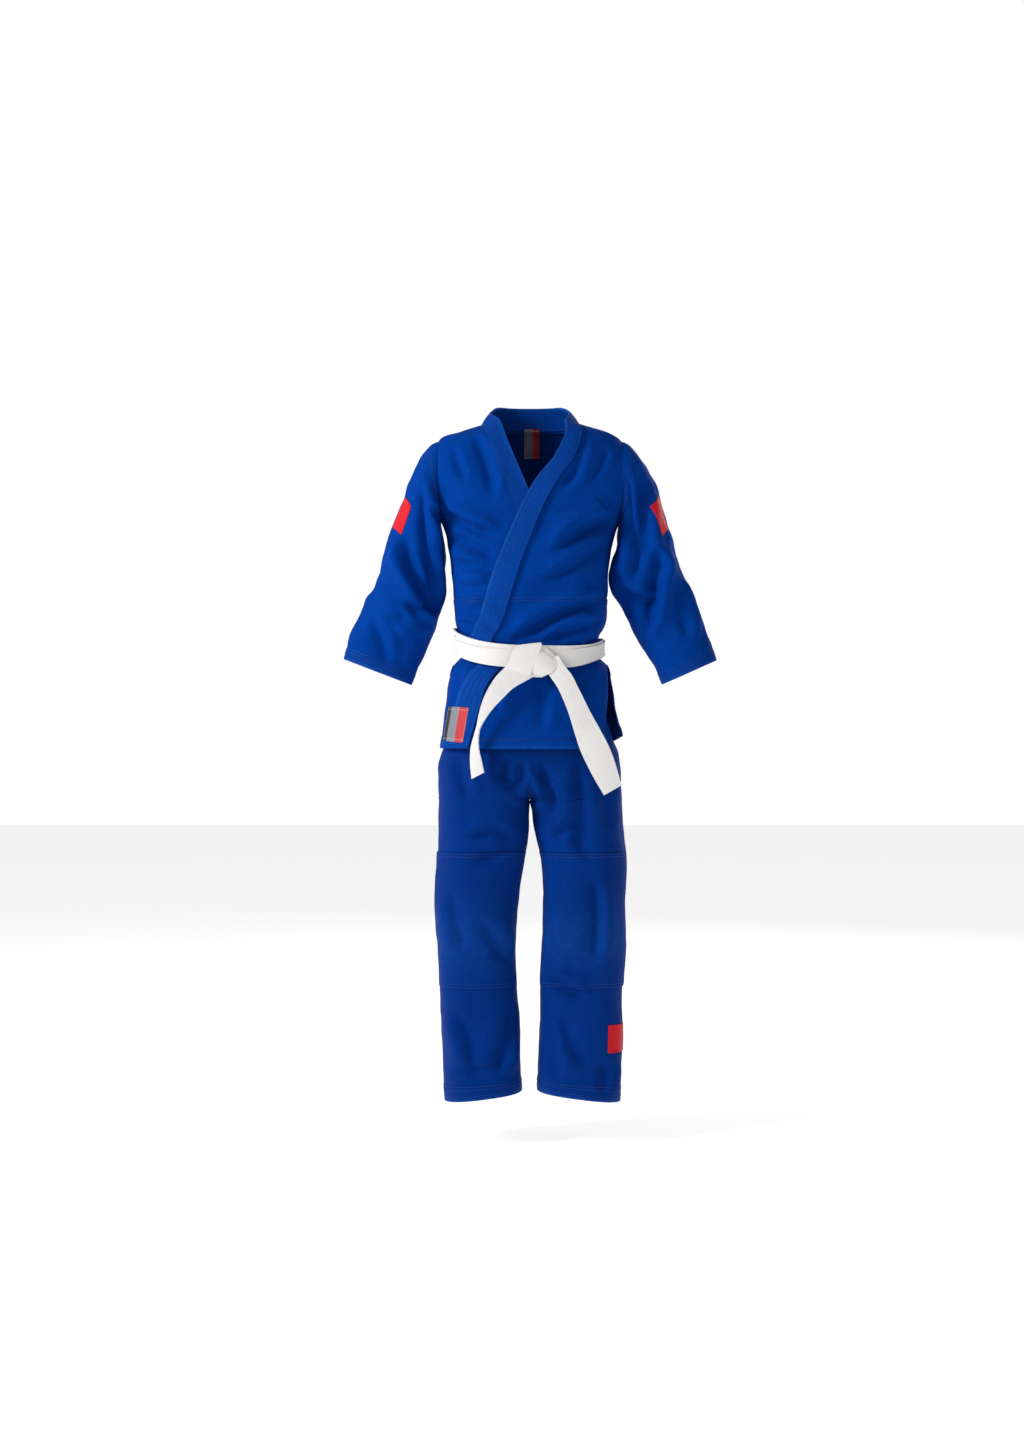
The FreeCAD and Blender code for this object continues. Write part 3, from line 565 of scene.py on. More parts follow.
def body_height(points, normal):
    """How far folds push the jacket's body out. Near the over lapel the band holds it flatter."""
    level = points[..., 2] / MM
    middle = (edge_x(OVER_LAPEL, level.ravel(), 1) + edge_x(OVER_LAPEL, level.ravel(), 2)) / 2
    off = np.abs(points[..., 0] / MM - middle.reshape(level.shape))
    front = ease(-normal[..., 1] / 0.3)
    calm = 1.0 - 0.75 * front * ease((52.0 - off) / 30.0)
    dip = BELT_DIP / MM * np.maximum(0.0, -normal[..., 1]) ** 1.6
    belt = np.exp(-(((level - BELT_LEVEL + dip) / 26.0) ** 2))
    hole = np.hypot((np.abs(points[..., 0]) - ARM_X), (points[..., 2] - ARM_Z) * 0.3)
    seam = ease(hole / (26 * MM))
    top = ease((NECK_LEVEL - level) / 22.0)
    height = BODY_FOLD_SCALE * fold_height(points, normal, BODY_FOLDS)
    height += 1.9 * MM * ripple(points, 3, 0.15) + 0.55 * MM * ripple(points, 8, 0.045)
    gather = np.sin(points[..., 0] / MM * 0.21 + np.sin(level * 0.03) * 1.4)
    near_belt = np.exp(-((np.abs(level - BELT_LEVEL + dip) - 30.0) / 17.0) ** 2)
    height += 1.3 * MM * gather * near_belt
    return height * calm * (1 - 0.9 * belt) * (0.25 + 0.75 * seam) * top


def seam_groove(distance, width=2.5, depth=0.9):
    return -depth * MM * np.exp(-((distance / width) ** 2))


def body_panel(piece, rows, start, end, lift):
    """One panel of the jacket between two angles on each row. Returns its face and normals."""
    widest = np.abs(end - start).max() / 360.0 * 0.95
    across = shares(int(widest / CLOTH_STEP) + 2, 0.006)
    angle = start[:, None] + (end - start)[:, None] * across
    base = torso.points(rows[:, None], angle)
    normal = outward(base)
    # Each front lies in its own layer at the lapel and meets the back at the side seam.
    height = body_height(base, normal) + lift * (1 - ease((across - 0.35) / 0.65))[None]
    level = base[..., 2] / MM
    fold = ease((WAIST_SEAM - level) / 3.0) * ease((level - WAIST_SEAM + SEAM_DEEP) / 3.0)
    height = height + seam_groove(level - WAIST_SEAM)
    height = height + 0.7 * MM * fold
    height = height + 0.9 * MM * ease((SKIRT_HEM + HEM_DEEP - level) / 4.0)
    outer = base + normal * height[..., None]
    inner = outer - normal * JACKET_THICK
    edge = np.minimum(across, 1 - across)[None] * widest / MM
    wear = np.exp(-edge / 3.0) * 0.7 + np.exp(-np.abs(level - SKIRT_HEM) / 3.0)
    piece.sheet(outer, inner, wear=np.clip(wear, 0, 1))
    return outer, normal


def rows_between(high, low):
    keep = (BODY_LEVELS <= high + 0.01) & (BODY_LEVELS >= low - 0.01)
    return BODY_ROWS[keep], BODY_LEVELS[keep]


VENT_EDGES = {
    "left": [(VENT_TOP, 157), (-530, 154), (-600, 151), (SKIRT_HEM, 147)],
    "right": [(VENT_TOP, 159), (-530, 163), (-600, 170), (SKIRT_HEM, 182)],
}
VENT_GAP = 0.1
LAPEL_TUCK = 3


def vent_edge(levels, side, sign):
    """The angle of a front skirt's side edge on each row, below the vent's top."""
    table = np.array(VENT_EDGES[side], float)[::-1]
    x = np.interp(levels, table[:, 0], table[:, 1])
    return torso.front_angle(torso.along(levels), sign * x * MM)


def build_fronts(materials):
    rows, levels = rows_between(NECK_LEVEL, SKIRT_HEM)
    below = levels < VENT_TOP
    armhole = torso.side_angle(rows)
    left_out = np.minimum(vent_edge(levels, "left", 1), 360.0 - VENT_GAP)
    right_out = np.maximum(vent_edge(levels, "right", -1), 180.0 + VENT_GAP)
    for side, sign, lapel, seam, lift in (
        ("left", 1, OVER_LAPEL, np.where(below, left_out, 360.0 - armhole), OVER_LIFT),
        ("right", -1, UNDER_LAPEL, np.where(below, right_out, 180.0 + armhole), UNDER_LIFT),
    ):
        piece = Piece(f"jacket_{side}_front")
        free = torso.front_angle(rows, (edge_x(lapel, levels, 1) + sign * LAPEL_TUCK) * MM)
        outer, normal = body_panel(piece, rows, free, seam, lift)
        piece.stitch_rows(outer, normal, -levels, -BODY_STITCHES, raised=0.2 * MM)
        piece.stitch_columns(outer, normal, (0.955, 0.935), levels < VENT_TOP - SEAM_DEEP)
        nodes = (f"jacket_{side}_front", f"skirt_{side}_front")
        shape = piece.place(materials, "jacket_cotton", nodes, "jacket")


def build_back(materials):
    rows, levels = rows_between(NECK_LEVEL, SKIRT_HEM)
    side = torso.side_angle(rows)
    flap = levels < VENT_TOP
    below = ease((VENT_TOP - levels) / 30.0)
    piece = Piece("jacket_back")
    start = np.where(flap, -9.0 * below, side)
    end = np.where(flap, 180.0 + 4.0 * below, 180.0 - side)
    across = shares(112, 0.003)
    angle = start[:, None] + (end - start)[:, None] * across
    base = torso.points(rows[:, None], angle)
    normal = outward(base)
    level = base[..., 2] / MM
    height = body_height(base, normal)
    height = height + seam_groove(level - WAIST_SEAM) + seam_groove(base[..., 0] / MM, 2.2, 0.8)
    height = height + 0.9 * MM * ease((SKIRT_HEM + HEM_DEEP - level) / 4.0)
    # The flap's left corner hangs a little away from the leg and turns up.
    corner = ease((60.0 - angle) / 70.0) * ease((VENT_TOP - level) / 150.0)
    height = height + 7.0 * MM * corner * flap[:, None]
    outer = base + normal * height[..., None]
    outer[..., 2] += 24 * MM * corner * ease((-560 - level) / 100.0)
    inner = outer - normal * JACKET_THICK
    wear = np.exp(-np.abs(level - SKIRT_HEM) / 3.0)
    piece.sheet(outer, inner, wear=np.clip(wear, 0, 1))
    piece.stitch_rows(outer, normal, -levels, -BODY_STITCHES)
    piece.stitch_columns(outer, normal, (0.494, 0.506), levels > VENT_TOP)
    piece.stitch_columns(outer, normal, (0.03, 0.97), levels < VENT_TOP - SEAM_DEEP)
    nodes = ("jacket_back", "skirt_back_top", "skirt_back_flap")
    hinge = {"start": (0, 0.1, -0.478), "end": (0, 0.1, -0.535)}
    shape = piece.place(materials, "jacket_cotton", nodes, "jacket", "back_skirt", **hinge)


# The collar and both lapels are one stitched band. Stations run from the right lapel's hem, up
# and round the neck, to the left lapel's hem: level and angle of the sewn edge, then the free
# edge, and how far the band stands off the body.
NECK = Tube([
    (0, 44, 57, 54),
    (0, 40, 61, 56),
    (0, 28, 76, 61),
    (0, 13, 86, 66),
    (0, -2, 95, 70),
    (0, -14, 118, 80),
    (0, -31, 150, 92),
], 1, FULL)
NECK_TURN = [
    (-6, 194, 22, 191, 2.0),
    (-5, 180, 32, 179, 2.5),
    (-7, 158, 38, 158, 3.0),
    (-8, 130, 40, 130, 3.0),
    (-8, 90, 41, 90, 3.0),
    (-8, 50, 40, 50, 3.0),
    (-7, 22, 38, 22, 3.0),
    (-5, 2, 32, 2, 3.0),
    (-6, -14, 22, -11, 3.5),
]


LAPEL_LEVELS = [
    -659, -630, -600, -570, -540, -510, -480, -450, -420, -390, -354, -320,
    -290, -260, -230, -200, -170, -140, -110, -85, -60, -40, -23,
]
BAND_STITCHES = (0.10, 0.28, 0.46, 0.64, 0.82)


def neck_point(level, angle):
    fine = np.linspace(0.0, NECK.length, 400)
    return NECK.points(np.interp(-level * MM, -NECK.ring(fine)[1][:, 0], fine), angle)


def band_edges():
    """The band's sewn and free edges and its lift, station by station."""
    sewn, free, lift = [], [], []

    def lapel(table, level, offset):
        for edge, which in ((sewn, 2), (free, 1)):
            along = torso.along([level])
            x = edge_x(table, level, which) * MM
            edge.append(torso.points(along[:, None], torso.front_angle(along, x)[:, None])[0, 0])
        lift.append(offset)

    for level in LAPEL_LEVELS:
        lapel(UNDER_LAPEL, level, UNDER_BAND_LIFT)
    sewn.append(np.array([-96, -55, -12]) * MM)
    free.append(np.array([-62, -69, 2]) * MM)
    lift.append(1.0 * MM)
    for low, a, high, b, offset in NECK_TURN:
        sewn.append(neck_point(low, a))
        free.append(neck_point(high, b))
        lift.append(offset * MM)
    sewn.append(np.array([101, -57, -13]) * MM)
    free.append(np.array([69, -68, 0]) * MM)
    lift.append(4.5 * MM)
    for level in LAPEL_LEVELS[::-1]:
        lapel(OVER_LAPEL, level, OVER_BAND_LIFT)
    return np.array(sewn), np.array(free), np.array(lift)


def build_band(materials):
    sewn, free, lift = band_edges()
    middle = (sewn + free) / 2
    run = np.concatenate([[0], np.cumsum(np.linalg.norm(np.diff(middle, axis=0), axis=1))])
    count = int(run[-1] / (4.5 * MM))
    at = run[-1] * shares(count, 0.0006)
    sewn = through(run, sewn, at, loose=True)
    free = through(run, free, at, loose=True)
    lift = through(run, lift[:, None], at)[:, 0]
    across = shares(13, 0.02)
    base = sewn[:, None] + (free - sewn)[:, None] * across[None, :, None]
    on_body = base[..., 2] < -36 * MM
    level = base[..., 2] / MM
    for row in range(len(base)):
        if on_body[row].all():
            along = torso.along(level[row])
            angle = torso.front_angle(along, base[row, :, 0])
            base[row] = torso.points(along, angle)
    normal = grid_normals(base)
    away = base.copy()
    away[..., 2] = 0.0
    flip = np.sign((normal * away).sum(axis=-1, keepdims=True))
    normal = normal * np.where(flip == 0, 1.0, flip)
    smooth = normal.copy()
    for _ in range(3):
        smooth[1:-1] = (smooth[:-2] + smooth[2:] + smooth[1:-1]) / 3
    normal = smooth / (np.linalg.norm(smooth, axis=-1, keepdims=True) + 1e-12)
    folds = body_height(base, normal) * ease((-2 - level) / 40.0)
    belly = 1.6 * MM * np.sin(math.pi * across)[None] * ease((level + 40) / 30.0)
    groove = np.zeros_like(level)
    width = np.linalg.norm(free - sewn, axis=1)[:, None]
    for share in BAND_STITCHES:
        groove += -0.45 * MM * np.exp(-(((across[None] - share) * width / (2.4 * MM)) ** 2))
    wave = 0.7 * MM * ripple(base, 21, 0.09)
    outer = base + normal * (lift[:, None] + folds + belly + groove + wave)[..., None]
    inner = outer - normal * BAND_THICK
    wear = np.exp(-(1 - across) * 45 / 3.0)[None] * np.ones_like(level)
    piece = Piece("collar_band")
    piece.sheet(outer, inner, wear=wear)
    piece.stitch_columns(outer, normal, BAND_STITCHES, raised=0.15 * MM)
    nodes = ("neck_collar", "left_lapel", "right_lapel")
    shape = piece.place(materials, "lapel_band", nodes, "jacket")


# ---------------------------------------------------------------- sleeves

# Distance out, level, half width, half depth and tilt of each ring.
UPPER_SLEEVE = [
    (185, -110, 77, 74, 90),
    (195, -124, 78, 78, 81),
    (205, -152, 77.5, 81, 71),
    (210, -185, 79, 80, 64),
    (216, -222, 82, 78, 56),
    (232, -287, 76, 71, 35),
]
LOWER_SLEEVE = {
    "right": [
        (241, -321, 72, 67, 24),
        (256, -355, 70, 65, 23),
        (270, -389, 76, 61, 23),
        (290, -445, 77, 54, 22),
        (304, -482, 75, 49, 21),
        (312, -504, 74, 46, 21),
    ],
    "left": [
        (242, -322, 72, 67, 24),
        (257, -356, 70, 65, 24),
        (271, -390, 70, 63, 24),
        (296, -445, 67, 60, 24),
        (314, -482, 63, 58, 24),
        (324, -505, 60, 57, 24),
    ],
}
SLEEVE_FOLDS = {
    "right": [
        (9.0, 12, 0.7, FRONT, [(-219, -112), (-218, -174), (-210, -242), (-194, -312), (-178, -396)]),
        (9.0, 12, -0.7, FRONT, [(-262, -214), (-251, -273), (-230, -315), (-204, -362), (-180, -396)]),
        (8.0, 12, 0.5, FRONT, [(-206, -168), (-183, -200), (-160, -232)]),
        (7.0, 10, 0.5, FRONT, [(-196, -240), (-184, -290), (-172, -330)]),
        (8.0, 11, 0.6, FRONT, [(-166, -352), (-196, -372), (-228, -380), (-262, -366)]),
        (5.0, 12, 0.6, FRONT, [(-196, -410), (-232, -398), (-280, -396)]),
        (3.5, 12, 0.5, FRONT, [(-330, -380), (-300, -440), (-285, -500)]),
    ],
    "left": [
        (9.0, 11, -0.6, FRONT, [(184, -76), (191, -132), (194, -186), (190, -268)]),
        (8.0, 12, 0.6, FRONT, [(224, -84), (231, -150), (232, -236), (226, -300)]),
        (9.0, 13, 0.7, FRONT, [(246, -232), (256, -289), (244, -367), (226, -450)]),
        (8.0, 11, -0.6, FRONT, [(206, -192), (214, -263), (204, -330)]),
        (8.0, 11, 0.6, FRONT, [(166, -320), (196, -352), (232, -366), (270, -360)]),
        (4.0, 12, 0.5, FRONT, [(290, -300), (306, -370), (316, -450)]),
    ],
}
# Folds on the back of the left sleeve. The right one has the same.
SLEEVE_BACK_FOLDS = [
    (7.0, 13, -0.6, BACK, [(214, -120), (216, -190), (206, -260), (190, -330)]),
    (7.0, 13, 0.6, BACK, [(262, -230), (240, -300), (205, -350), (186, -380)]),
    (6.0, 13, -0.6, BACK, [(300, -330), (270, -372), (230, -392)]),
]
SLEEVE_FOLDS["left"] += SLEEVE_BACK_FOLDS
SLEEVE_FOLDS["right"] += mirrored(SLEEVE_BACK_FOLDS)
SLEEVE_FOLD_SCALE = 2.2
CUFF_BAND = 26.0
SPLIT_SLACK = 1e-6
SIGN = {"right": -1, "left": 1}


def sleeve_hinge(side, start, end):
    """The span of a sleeve's hinge, from x and z of its two ends."""
    return {
        "start": (SIGN[side] * start[0], 0, start[1]),
        "end": (SIGN[side] * end[0], 0, end[1]),
    }


SHOULDER = ((0.2228, -0.1376), (0.2756, -0.1772))
ELBOW = ((0.2357, -0.3098), (0.2763, -0.4012))


def limb_grid(tube, rows, columns):
    angle = np.linspace(0.0, 360.0, columns, endpoint=False)
    base = tube.points(rows[:, None], angle[None])
    return base, outward(base, closed=True)


def build_sleeve(side, materials):
    seed = {"right": 31, "left": 47}[side]
    whole = Tube(UPPER_SLEEVE + LOWER_SLEEVE[side], SIGN[side], ARM_FULL)
    cut = whole.knots[len(UPPER_SLEEVE) - 1]
    length = whole.length
    rows = np.concatenate([
        [0.0, 1.0 * MM],
        spaced(CLOTH_STEP, cut, CLOTH_STEP),
        spaced(cut, length, CLOTH_STEP)[1:],
        [length - 1.2 * MM, length - CUFF_BAND * MM],
    ])
    rows = np.unique(np.round(rows, 6))
    base, normal = limb_grid(whole, rows, 100)
    start = rows[:, None] / MM
    left = (length - rows[:, None]) / MM
    height = fold_height(base, normal, SLEEVE_FOLDS[side])
    height += 2.0 * MM * ripple(base, seed, 0.13) + 0.6 * MM * ripple(base, seed + 1, 0.04)
    height *= SLEEVE_FOLD_SCALE * ease(start / 45.0) * (0.35 + 0.65 * ease(left / 60.0))
    # The armhole's seam: a raised allowance with the seam's groove at its root.
    height += 1.2 * MM * np.exp(-(((start - 9.0) / 6.0) ** 2))
    height -= 1.0 * MM * np.exp(-((start / 3.0) ** 2))
    height += 0.9 * MM * ease((CUFF_BAND - left) / 4.0)
    outer = base + normal * height[..., None]
    inner = outer - normal * JACKET_THICK
    shade = grid_normals(outer, closed=True)
    wear = np.clip(np.exp(-left / 3.0) * np.ones(base.shape[:2]), 0, 1)
    cuff = length - np.array([CUFF_BAND - 3, CUFF_BAND - 9, 12, 6]) * MM
    arm = f"{side}_upper_arm"
    for name, keep, marks, nodes, bodies, hinge, flat in (
        (
            "upper_sleeve", rows <= cut + SPLIT_SLACK, np.array([14.0, 19.0]) * MM,
            ("shoulder_cloth", "upper_sleeve"), ("jacket", arm), SHOULDER, (0.50, 0.21),
        ),
        (
            "lower_sleeve", rows >= cut - SPLIT_SLACK, cuff,
            ("elbow_cloth", "lower_sleeve", "cuff_band"), (arm, f"{side}_forearm"), ELBOW,
            (0.44, 0.24),
        ),
    ):
        piece = Piece(f"{side}_{name}")
        piece.sheet(outer[keep], inner[keep], closed=True, wear=wear[keep], shade=shade[keep])
        piece.stitch_rows(outer, normal, rows, marks, closed=True)
        nodes = [f"{side}_{node}" for node in nodes]
        hinge = sleeve_hinge(side, *hinge)
        shape = piece.place(materials, "jacket_cotton", nodes, *bodies, **hinge)
    return outer, normal, rows


def lifted_patch(name, row_span, column_span, face, normal, steps=12):
    """A small piece sewn flat on a grid, between these rows and columns in grid steps."""
    count = face.shape[1]
    piece = Piece(name)
    r = row_span[0] + (row_span[1] - row_span[0]) * shares(steps, 0.02)
    c = column_span[0] + (column_span[1] - column_span[0]) * shares(steps, 0.02)
    low = np.clip(r.astype(int), 0, face.shape[0] - 2)
    mix = (r - low)[:, None, None]
    left = np.floor(c).astype(int)
    part = (c - left)[None, :, None]

    def across(rows):
        return rows[:, left % count] * (1 - part) + rows[:, (left + 1) % count] * part

    def at(grid):
        return across(grid[low]) * (1 - mix) + across(grid[low + 1]) * mix

    up = at(normal)
    up /= np.linalg.norm(up, axis=-1, keepdims=True) + 1e-12
    inner = at(face) + up * PATCH_LIFT
    outer = inner + up * PATCH_THICK
    piece.sheet(outer, inner)
    piece.stitch_edges(outer, up, **PATCH_THREAD)
    return piece


# How far down each sleeve its badge starts and ends. Columns count from the outside (0) towards
# the back, so the front lies just below 100.
BADGE_SPAN = {"right": (0.110, 0.160), "left": (0.112, 0.163)}
BADGE_COLUMNS = (85.5, 96.5)


def build_badge(side, grid, materials):
    outer, normal, rows = grid
    span = np.interp(BADGE_SPAN[side], rows, np.arange(len(rows)))
    piece = lifted_patch(f"{side}_sleeve_badge", span, BADGE_COLUMNS, outer, normal)
    nodes = (f"{side}_sleeve_patch",)
    hinge = sleeve_hinge(side, *SHOULDER)
    shape = piece.place(materials, "red_patch", nodes, "jacket", f"{side}_upper_arm", **hinge)


# ---------------------------------------------------------------- trousers

HIP_RINGS = [
    (-484, 126, 89),
    (-500, 126, 89.5),
    (-530, 131, 92),
    (-580, 150, 103),
    (-640, 168, 110),
    (-672, 181, 113),
    (-700, 185, 113),
]
# Distance out, level, half width and half depth of each ring.
LEG_RINGS = {
    "right": [
        (93, -770, 91, 107),
        (95, -826, 92, 98),
        (101, -895, 88, 92),
        (108, -960, 84, 89),
        (110, -1030, 80, 85),
        (110, -1071, 79, 82),
        (107, -1150, 79, 81),
        (102, -1218, 80, 80),
        (98, -1300, 79, 80),
        (95, -1364, 78, 80),
    ],
    "left": [
        (97, -770, 91, 107),
        (100, -826, 90, 98),
        (108, -895, 86, 92),
        (111, -960, 83, 89),
        (110, -1030, 84, 86),
        (108, -1071, 86, 82),
        (105, -1150, 86, 81),
        (103, -1218, 86, 80),
        (100, -1300, 86, 80),
        (99, -1364, 85, 80),
    ],
}
CROTCH = (-690.0, -762.0)
CENTRE_LAP = 1.6
LEG_CUT = -893.0
HEM_TILT = -7.0
LEG_HEM = -1364.0
KNEE_SEAM = -1142.0
SKIRT_COVER = -655
LEG_FOLDS = {
    "right": [
        (9.0, 12, 0.6, FRONT, [(-10, -672), (-14, -715), (-34, -738), (-60, -742)]),
        (7.0, 11, -0.6, FRONT, [(-48, -662), (-56, -706), (-44, -742)]),
        (6.0, 14, 0.5, FRONT, [(-150, -660), (-140, -720), (-120, -770)]),
        (6.0, 12, 0.6, FRONT, [(-128, -838), (-71, -826), (-20, -842)]),
        (5.0, 12, -0.6, FRONT, [(-118, -886), (-71, -877), (-18, -850)]),
        (6.0, 15, 0.6, FRONT, [(-100, -1000), (-70, -1050), (-44, -1096)]),
        (5.0, 14, -0.5, FRONT, [(-160, -940), (-150, -1010), (-130, -1080)]),
        (8.0, 14, 0.7, FRONT, [(-22, -1160), (-46, -1244), (-70, -1330)]),
        (6.0, 15, -0.6, FRONT, [(-150, -1180), (-120, -1250), (-110, -1330)]),
        (5.0, 12, 0.6, FRONT, [(-160, -1290), (-120, -1310), (-60, -1300)]),
    ],
    "left": [
        (7.0, 15, -0.6, FRONT, [(94, -668), (98, -745), (99, -847), (126, -898)]),
        (7.0, 13, 0.6, FRONT, [(126, -905), (134, -1000), (131, -1100)]),
        (9.0, 12, -0.6, FRONT, [(14, -680), (38, -744), (54, -800)]),
        (6.0, 11, 0.6, FRONT, [(36, -838), (68, -824), (96, -792)]),
        (5.0, 14, 0.5, FRONT, [(150, -690), (152, -760), (164, -830)]),
        (9.0, 12, 0.7, FRONT, [(26, -1116), (66, -1139), (116, -1160)]),
        (6.0, 14, -0.5, FRONT, [(60, -1190), (80, -1250), (120, -1310)]),
        (6.0, 12, 0.6, FRONT, [(128, -1290), (152, -1306), (144, -1368)]),
        (5.0, 14, 0.5, FRONT, [(40, -1200), (44, -1270), (60, -1340)]),
    ],
}
# Folds on the back of the left leg. The right one has the same.
LEG_BACK_FOLDS = [
    (8.0, 15, -0.6, BACK, [(20, -720), (60, -760), (130, -775)]),
    (7.0, 14, -0.6, BACK, [(40, -960), (90, -1010), (150, -1010)]),
    (7.0, 15, 0.6, BACK, [(90, -1120), (100, -1220), (90, -1320)]),
]
LEG_FOLDS["left"] += LEG_BACK_FOLDS
LEG_FOLDS["right"] += mirrored(LEG_BACK_FOLDS)
LEG_FOLD_SCALE = 1.75
HIP_HINGE = {"start": (0, 0, -0.735), "end": (0, 0, -0.826)}
KNEE_HINGE = {"start": (0, 0, -0.955), "end": (0, 0, -1.065)}


def leg_grid(side, columns=118):
    """Half of the trousers from waist to hem: each row runs from the centre front, round the
    outside, to the centre back, and closes on itself below the crotch."""
    legs = LEG_RINGS[side]
    levels = np.concatenate([
        spaced(-484.0, -500.0, 5.0),
        spaced(-505.0, -688.0, 6.0),
        spaced(-690.0, -764.0, 3.2),
        spaced(-769.0, LEG_CUT, 6.0),
        spaced(LEG_CUT - 5.0, LEG_HEM + 2.0, 5.5),
        [LEG_HEM + 1.0, LEG_HEM],
    ])
    hips = through([-z for z, _, _ in HIP_RINGS], [(w, d) for _, w, d in HIP_RINGS], -levels)
    below = through([-ring[1] for ring in legs], [(r[0], r[2], r[3]) for r in legs], -levels)
    share = ease((CROTCH[0] - levels) / (CROTCH[0] - CROTCH[1]))
    settle = ease((legs[0][1] + 20 - levels) / 40.0)
    middle = share * (92.5 * (1 - settle) + below[:, 0] * settle)
    low = ease((CROTCH[0] - levels) / 90.0)
    outside = hips[:, 0] * (1 - low) + (below[:, 0] + below[:, 1]) * low
    width = np.where(levels > -782.0, outside - middle, below[:, 1])
    width = np.where(levels > CROTCH[1], np.maximum(width, middle), width)
    depth = hips[:, 1] * (1 - low) + below[:, 2] * low
    reach = np.clip(middle / np.maximum(width, 1e-6), 0.0, 1.0)
    reach = np.where(levels <= CROTCH[1], 1.0, reach)
    inner = np.degrees(np.arccos(-(reach ** (FULL / 2))))
    inner = np.where(levels <= CROTCH[1], 180.0, inner)
    across = np.linspace(0.0, 1.0, columns)
    angle = -inner[:, None] + 2 * inner[:, None] * across
    turn = np.radians(angle)
    cosine = np.sign(np.cos(turn)) * np.abs(np.cos(turn)) ** (2 / FULL)
    sine = np.sign(np.sin(turn)) * np.abs(np.sin(turn)) ** (2 / FULL)
    x = middle[:, None] + width[:, None] * cosine
    x = np.where((levels > CROTCH[1])[:, None], x - CENTRE_LAP * np.exp(-np.abs(x) / 5.0), x)
    tilt = np.tan(np.radians(HEM_TILT)) * ease((-1300 - levels) / 64.0)[:, None]
    z = levels[:, None] + width[:, None] * cosine * tilt
    y = depth[:, None] * sine
    return np.stack([SIGN[side] * x, y, z], axis=-1) * MM, levels


def leg_height(points, normal, side, levels):
    seed = {"right": 61, "left": 83}[side]
    level = levels[:, None]
    height = LEG_FOLD_SCALE * fold_height(points, normal, LEG_FOLDS[side])
    height += 2.2 * MM * ripple(points, seed, 0.15) + 0.6 * MM * ripple(points, seed + 1, 0.05)
    height *= ease((-660.0 - level) / 30.0) * (0.4 + 0.6 * ease((level - LEG_HEM) / 50.0))
    angle = np.arctan2(points[..., 1], points[..., 0])
    gather = np.sin(angle * 46.0) + 0.5 * np.sin(angle * 29.0 + 1.0)
    height += 1.1 * MM * gather * ease((-526.0 - level) / 8.0) * ease((level + 600.0) / 60.0)
    height += 0.9 * MM * gather * 0.3 * ease((level + 524.0) / 6.0)
    centre = np.abs(points[..., 0]) / MM
    calm = np.where(level > CROTCH[1] - 6, ease(centre / 18.0), 1.0)
    return height * calm


def join_seam(vectors, closed):
    """Gives the first and last columns of a leg one shared direction where they meet."""
    both = vectors[closed, 0] + vectors[closed, -1]
    both /= np.linalg.norm(both, axis=-1, keepdims=True)
    vectors[closed, 0] = both
    vectors[closed, -1] = both


def build_leg(side, materials):
    base, levels = leg_grid(side)
    columns = base.shape[1]
    normal = grid_normals(base)
    centre = base.mean(axis=1, keepdims=True)
    if (normal * (base - centre)).sum() < 0:
        normal = -normal
    closed = levels <= CROTCH[1]
    join_seam(normal, closed)
    height = leg_height(base, normal, side, levels)
    seam = 0.5 * (height[closed, 0] + height[closed, -1])
    across = np.linspace(0.0, 1.0, columns)
    fade = ease(across * 10.0) * ease((1.0 - across) * 10.0)
    height[closed] = height[closed] * fade + seam[:, None] * (1 - fade)
    level = levels[:, None]
    height += 0.9 * MM * ease((LEG_HEM + 30.0 - level) / 4.0)
    height += seam_groove(level - KNEE_SEAM, 3.0, 0.8) * ease(-normal[..., 1] / 0.3)
    outer = base + normal * height[..., None]
    inner = outer - normal * TROUSER_THICK
    shade = grid_normals(outer)
    join_seam(shade, closed)
    wear = np.clip(np.exp(-(level - LEG_HEM) / 3.0) * np.ones(base.shape[:2]), 0, 1)
    thigh = f"{side}_upper_leg"
    for name, keep, nodes, bodies, hinge, flat, marks in (
        (
            "trouser_top", levels >= LEG_CUT - SPLIT_SLACK, ("hip_panel", "hip_cloth", "thigh"),
            ("trousers", thigh), HIP_HINGE, (0.50, 0.41), (),
        ),
        (
            "trouser_leg", levels <= LEG_CUT + SPLIT_SLACK, ("knee_cloth", "shin", "leg_hem"),
            (thigh, f"{side}_lower_leg"), KNEE_HINGE, (0.54, 0.47), (27, 21, 9),
        ),
    ):
        piece = Piece(f"{side}_{name}")
        piece.sheet(outer[keep], inner[keep], wear=wear[keep], shade=shade[keep])
        piece.stitch_rows(outer, normal, -levels, [-LEG_HEM - mark for mark in marks])
        piece.stitch_columns(outer, normal, (0.5, 0.508), keep & (levels < SKIRT_COVER))
        nodes = [f"{side}_{node}" for node in nodes]
        shape = piece.place(materials, "trouser_cotton", nodes, *bodies, **hinge)
    return outer, normal, levels


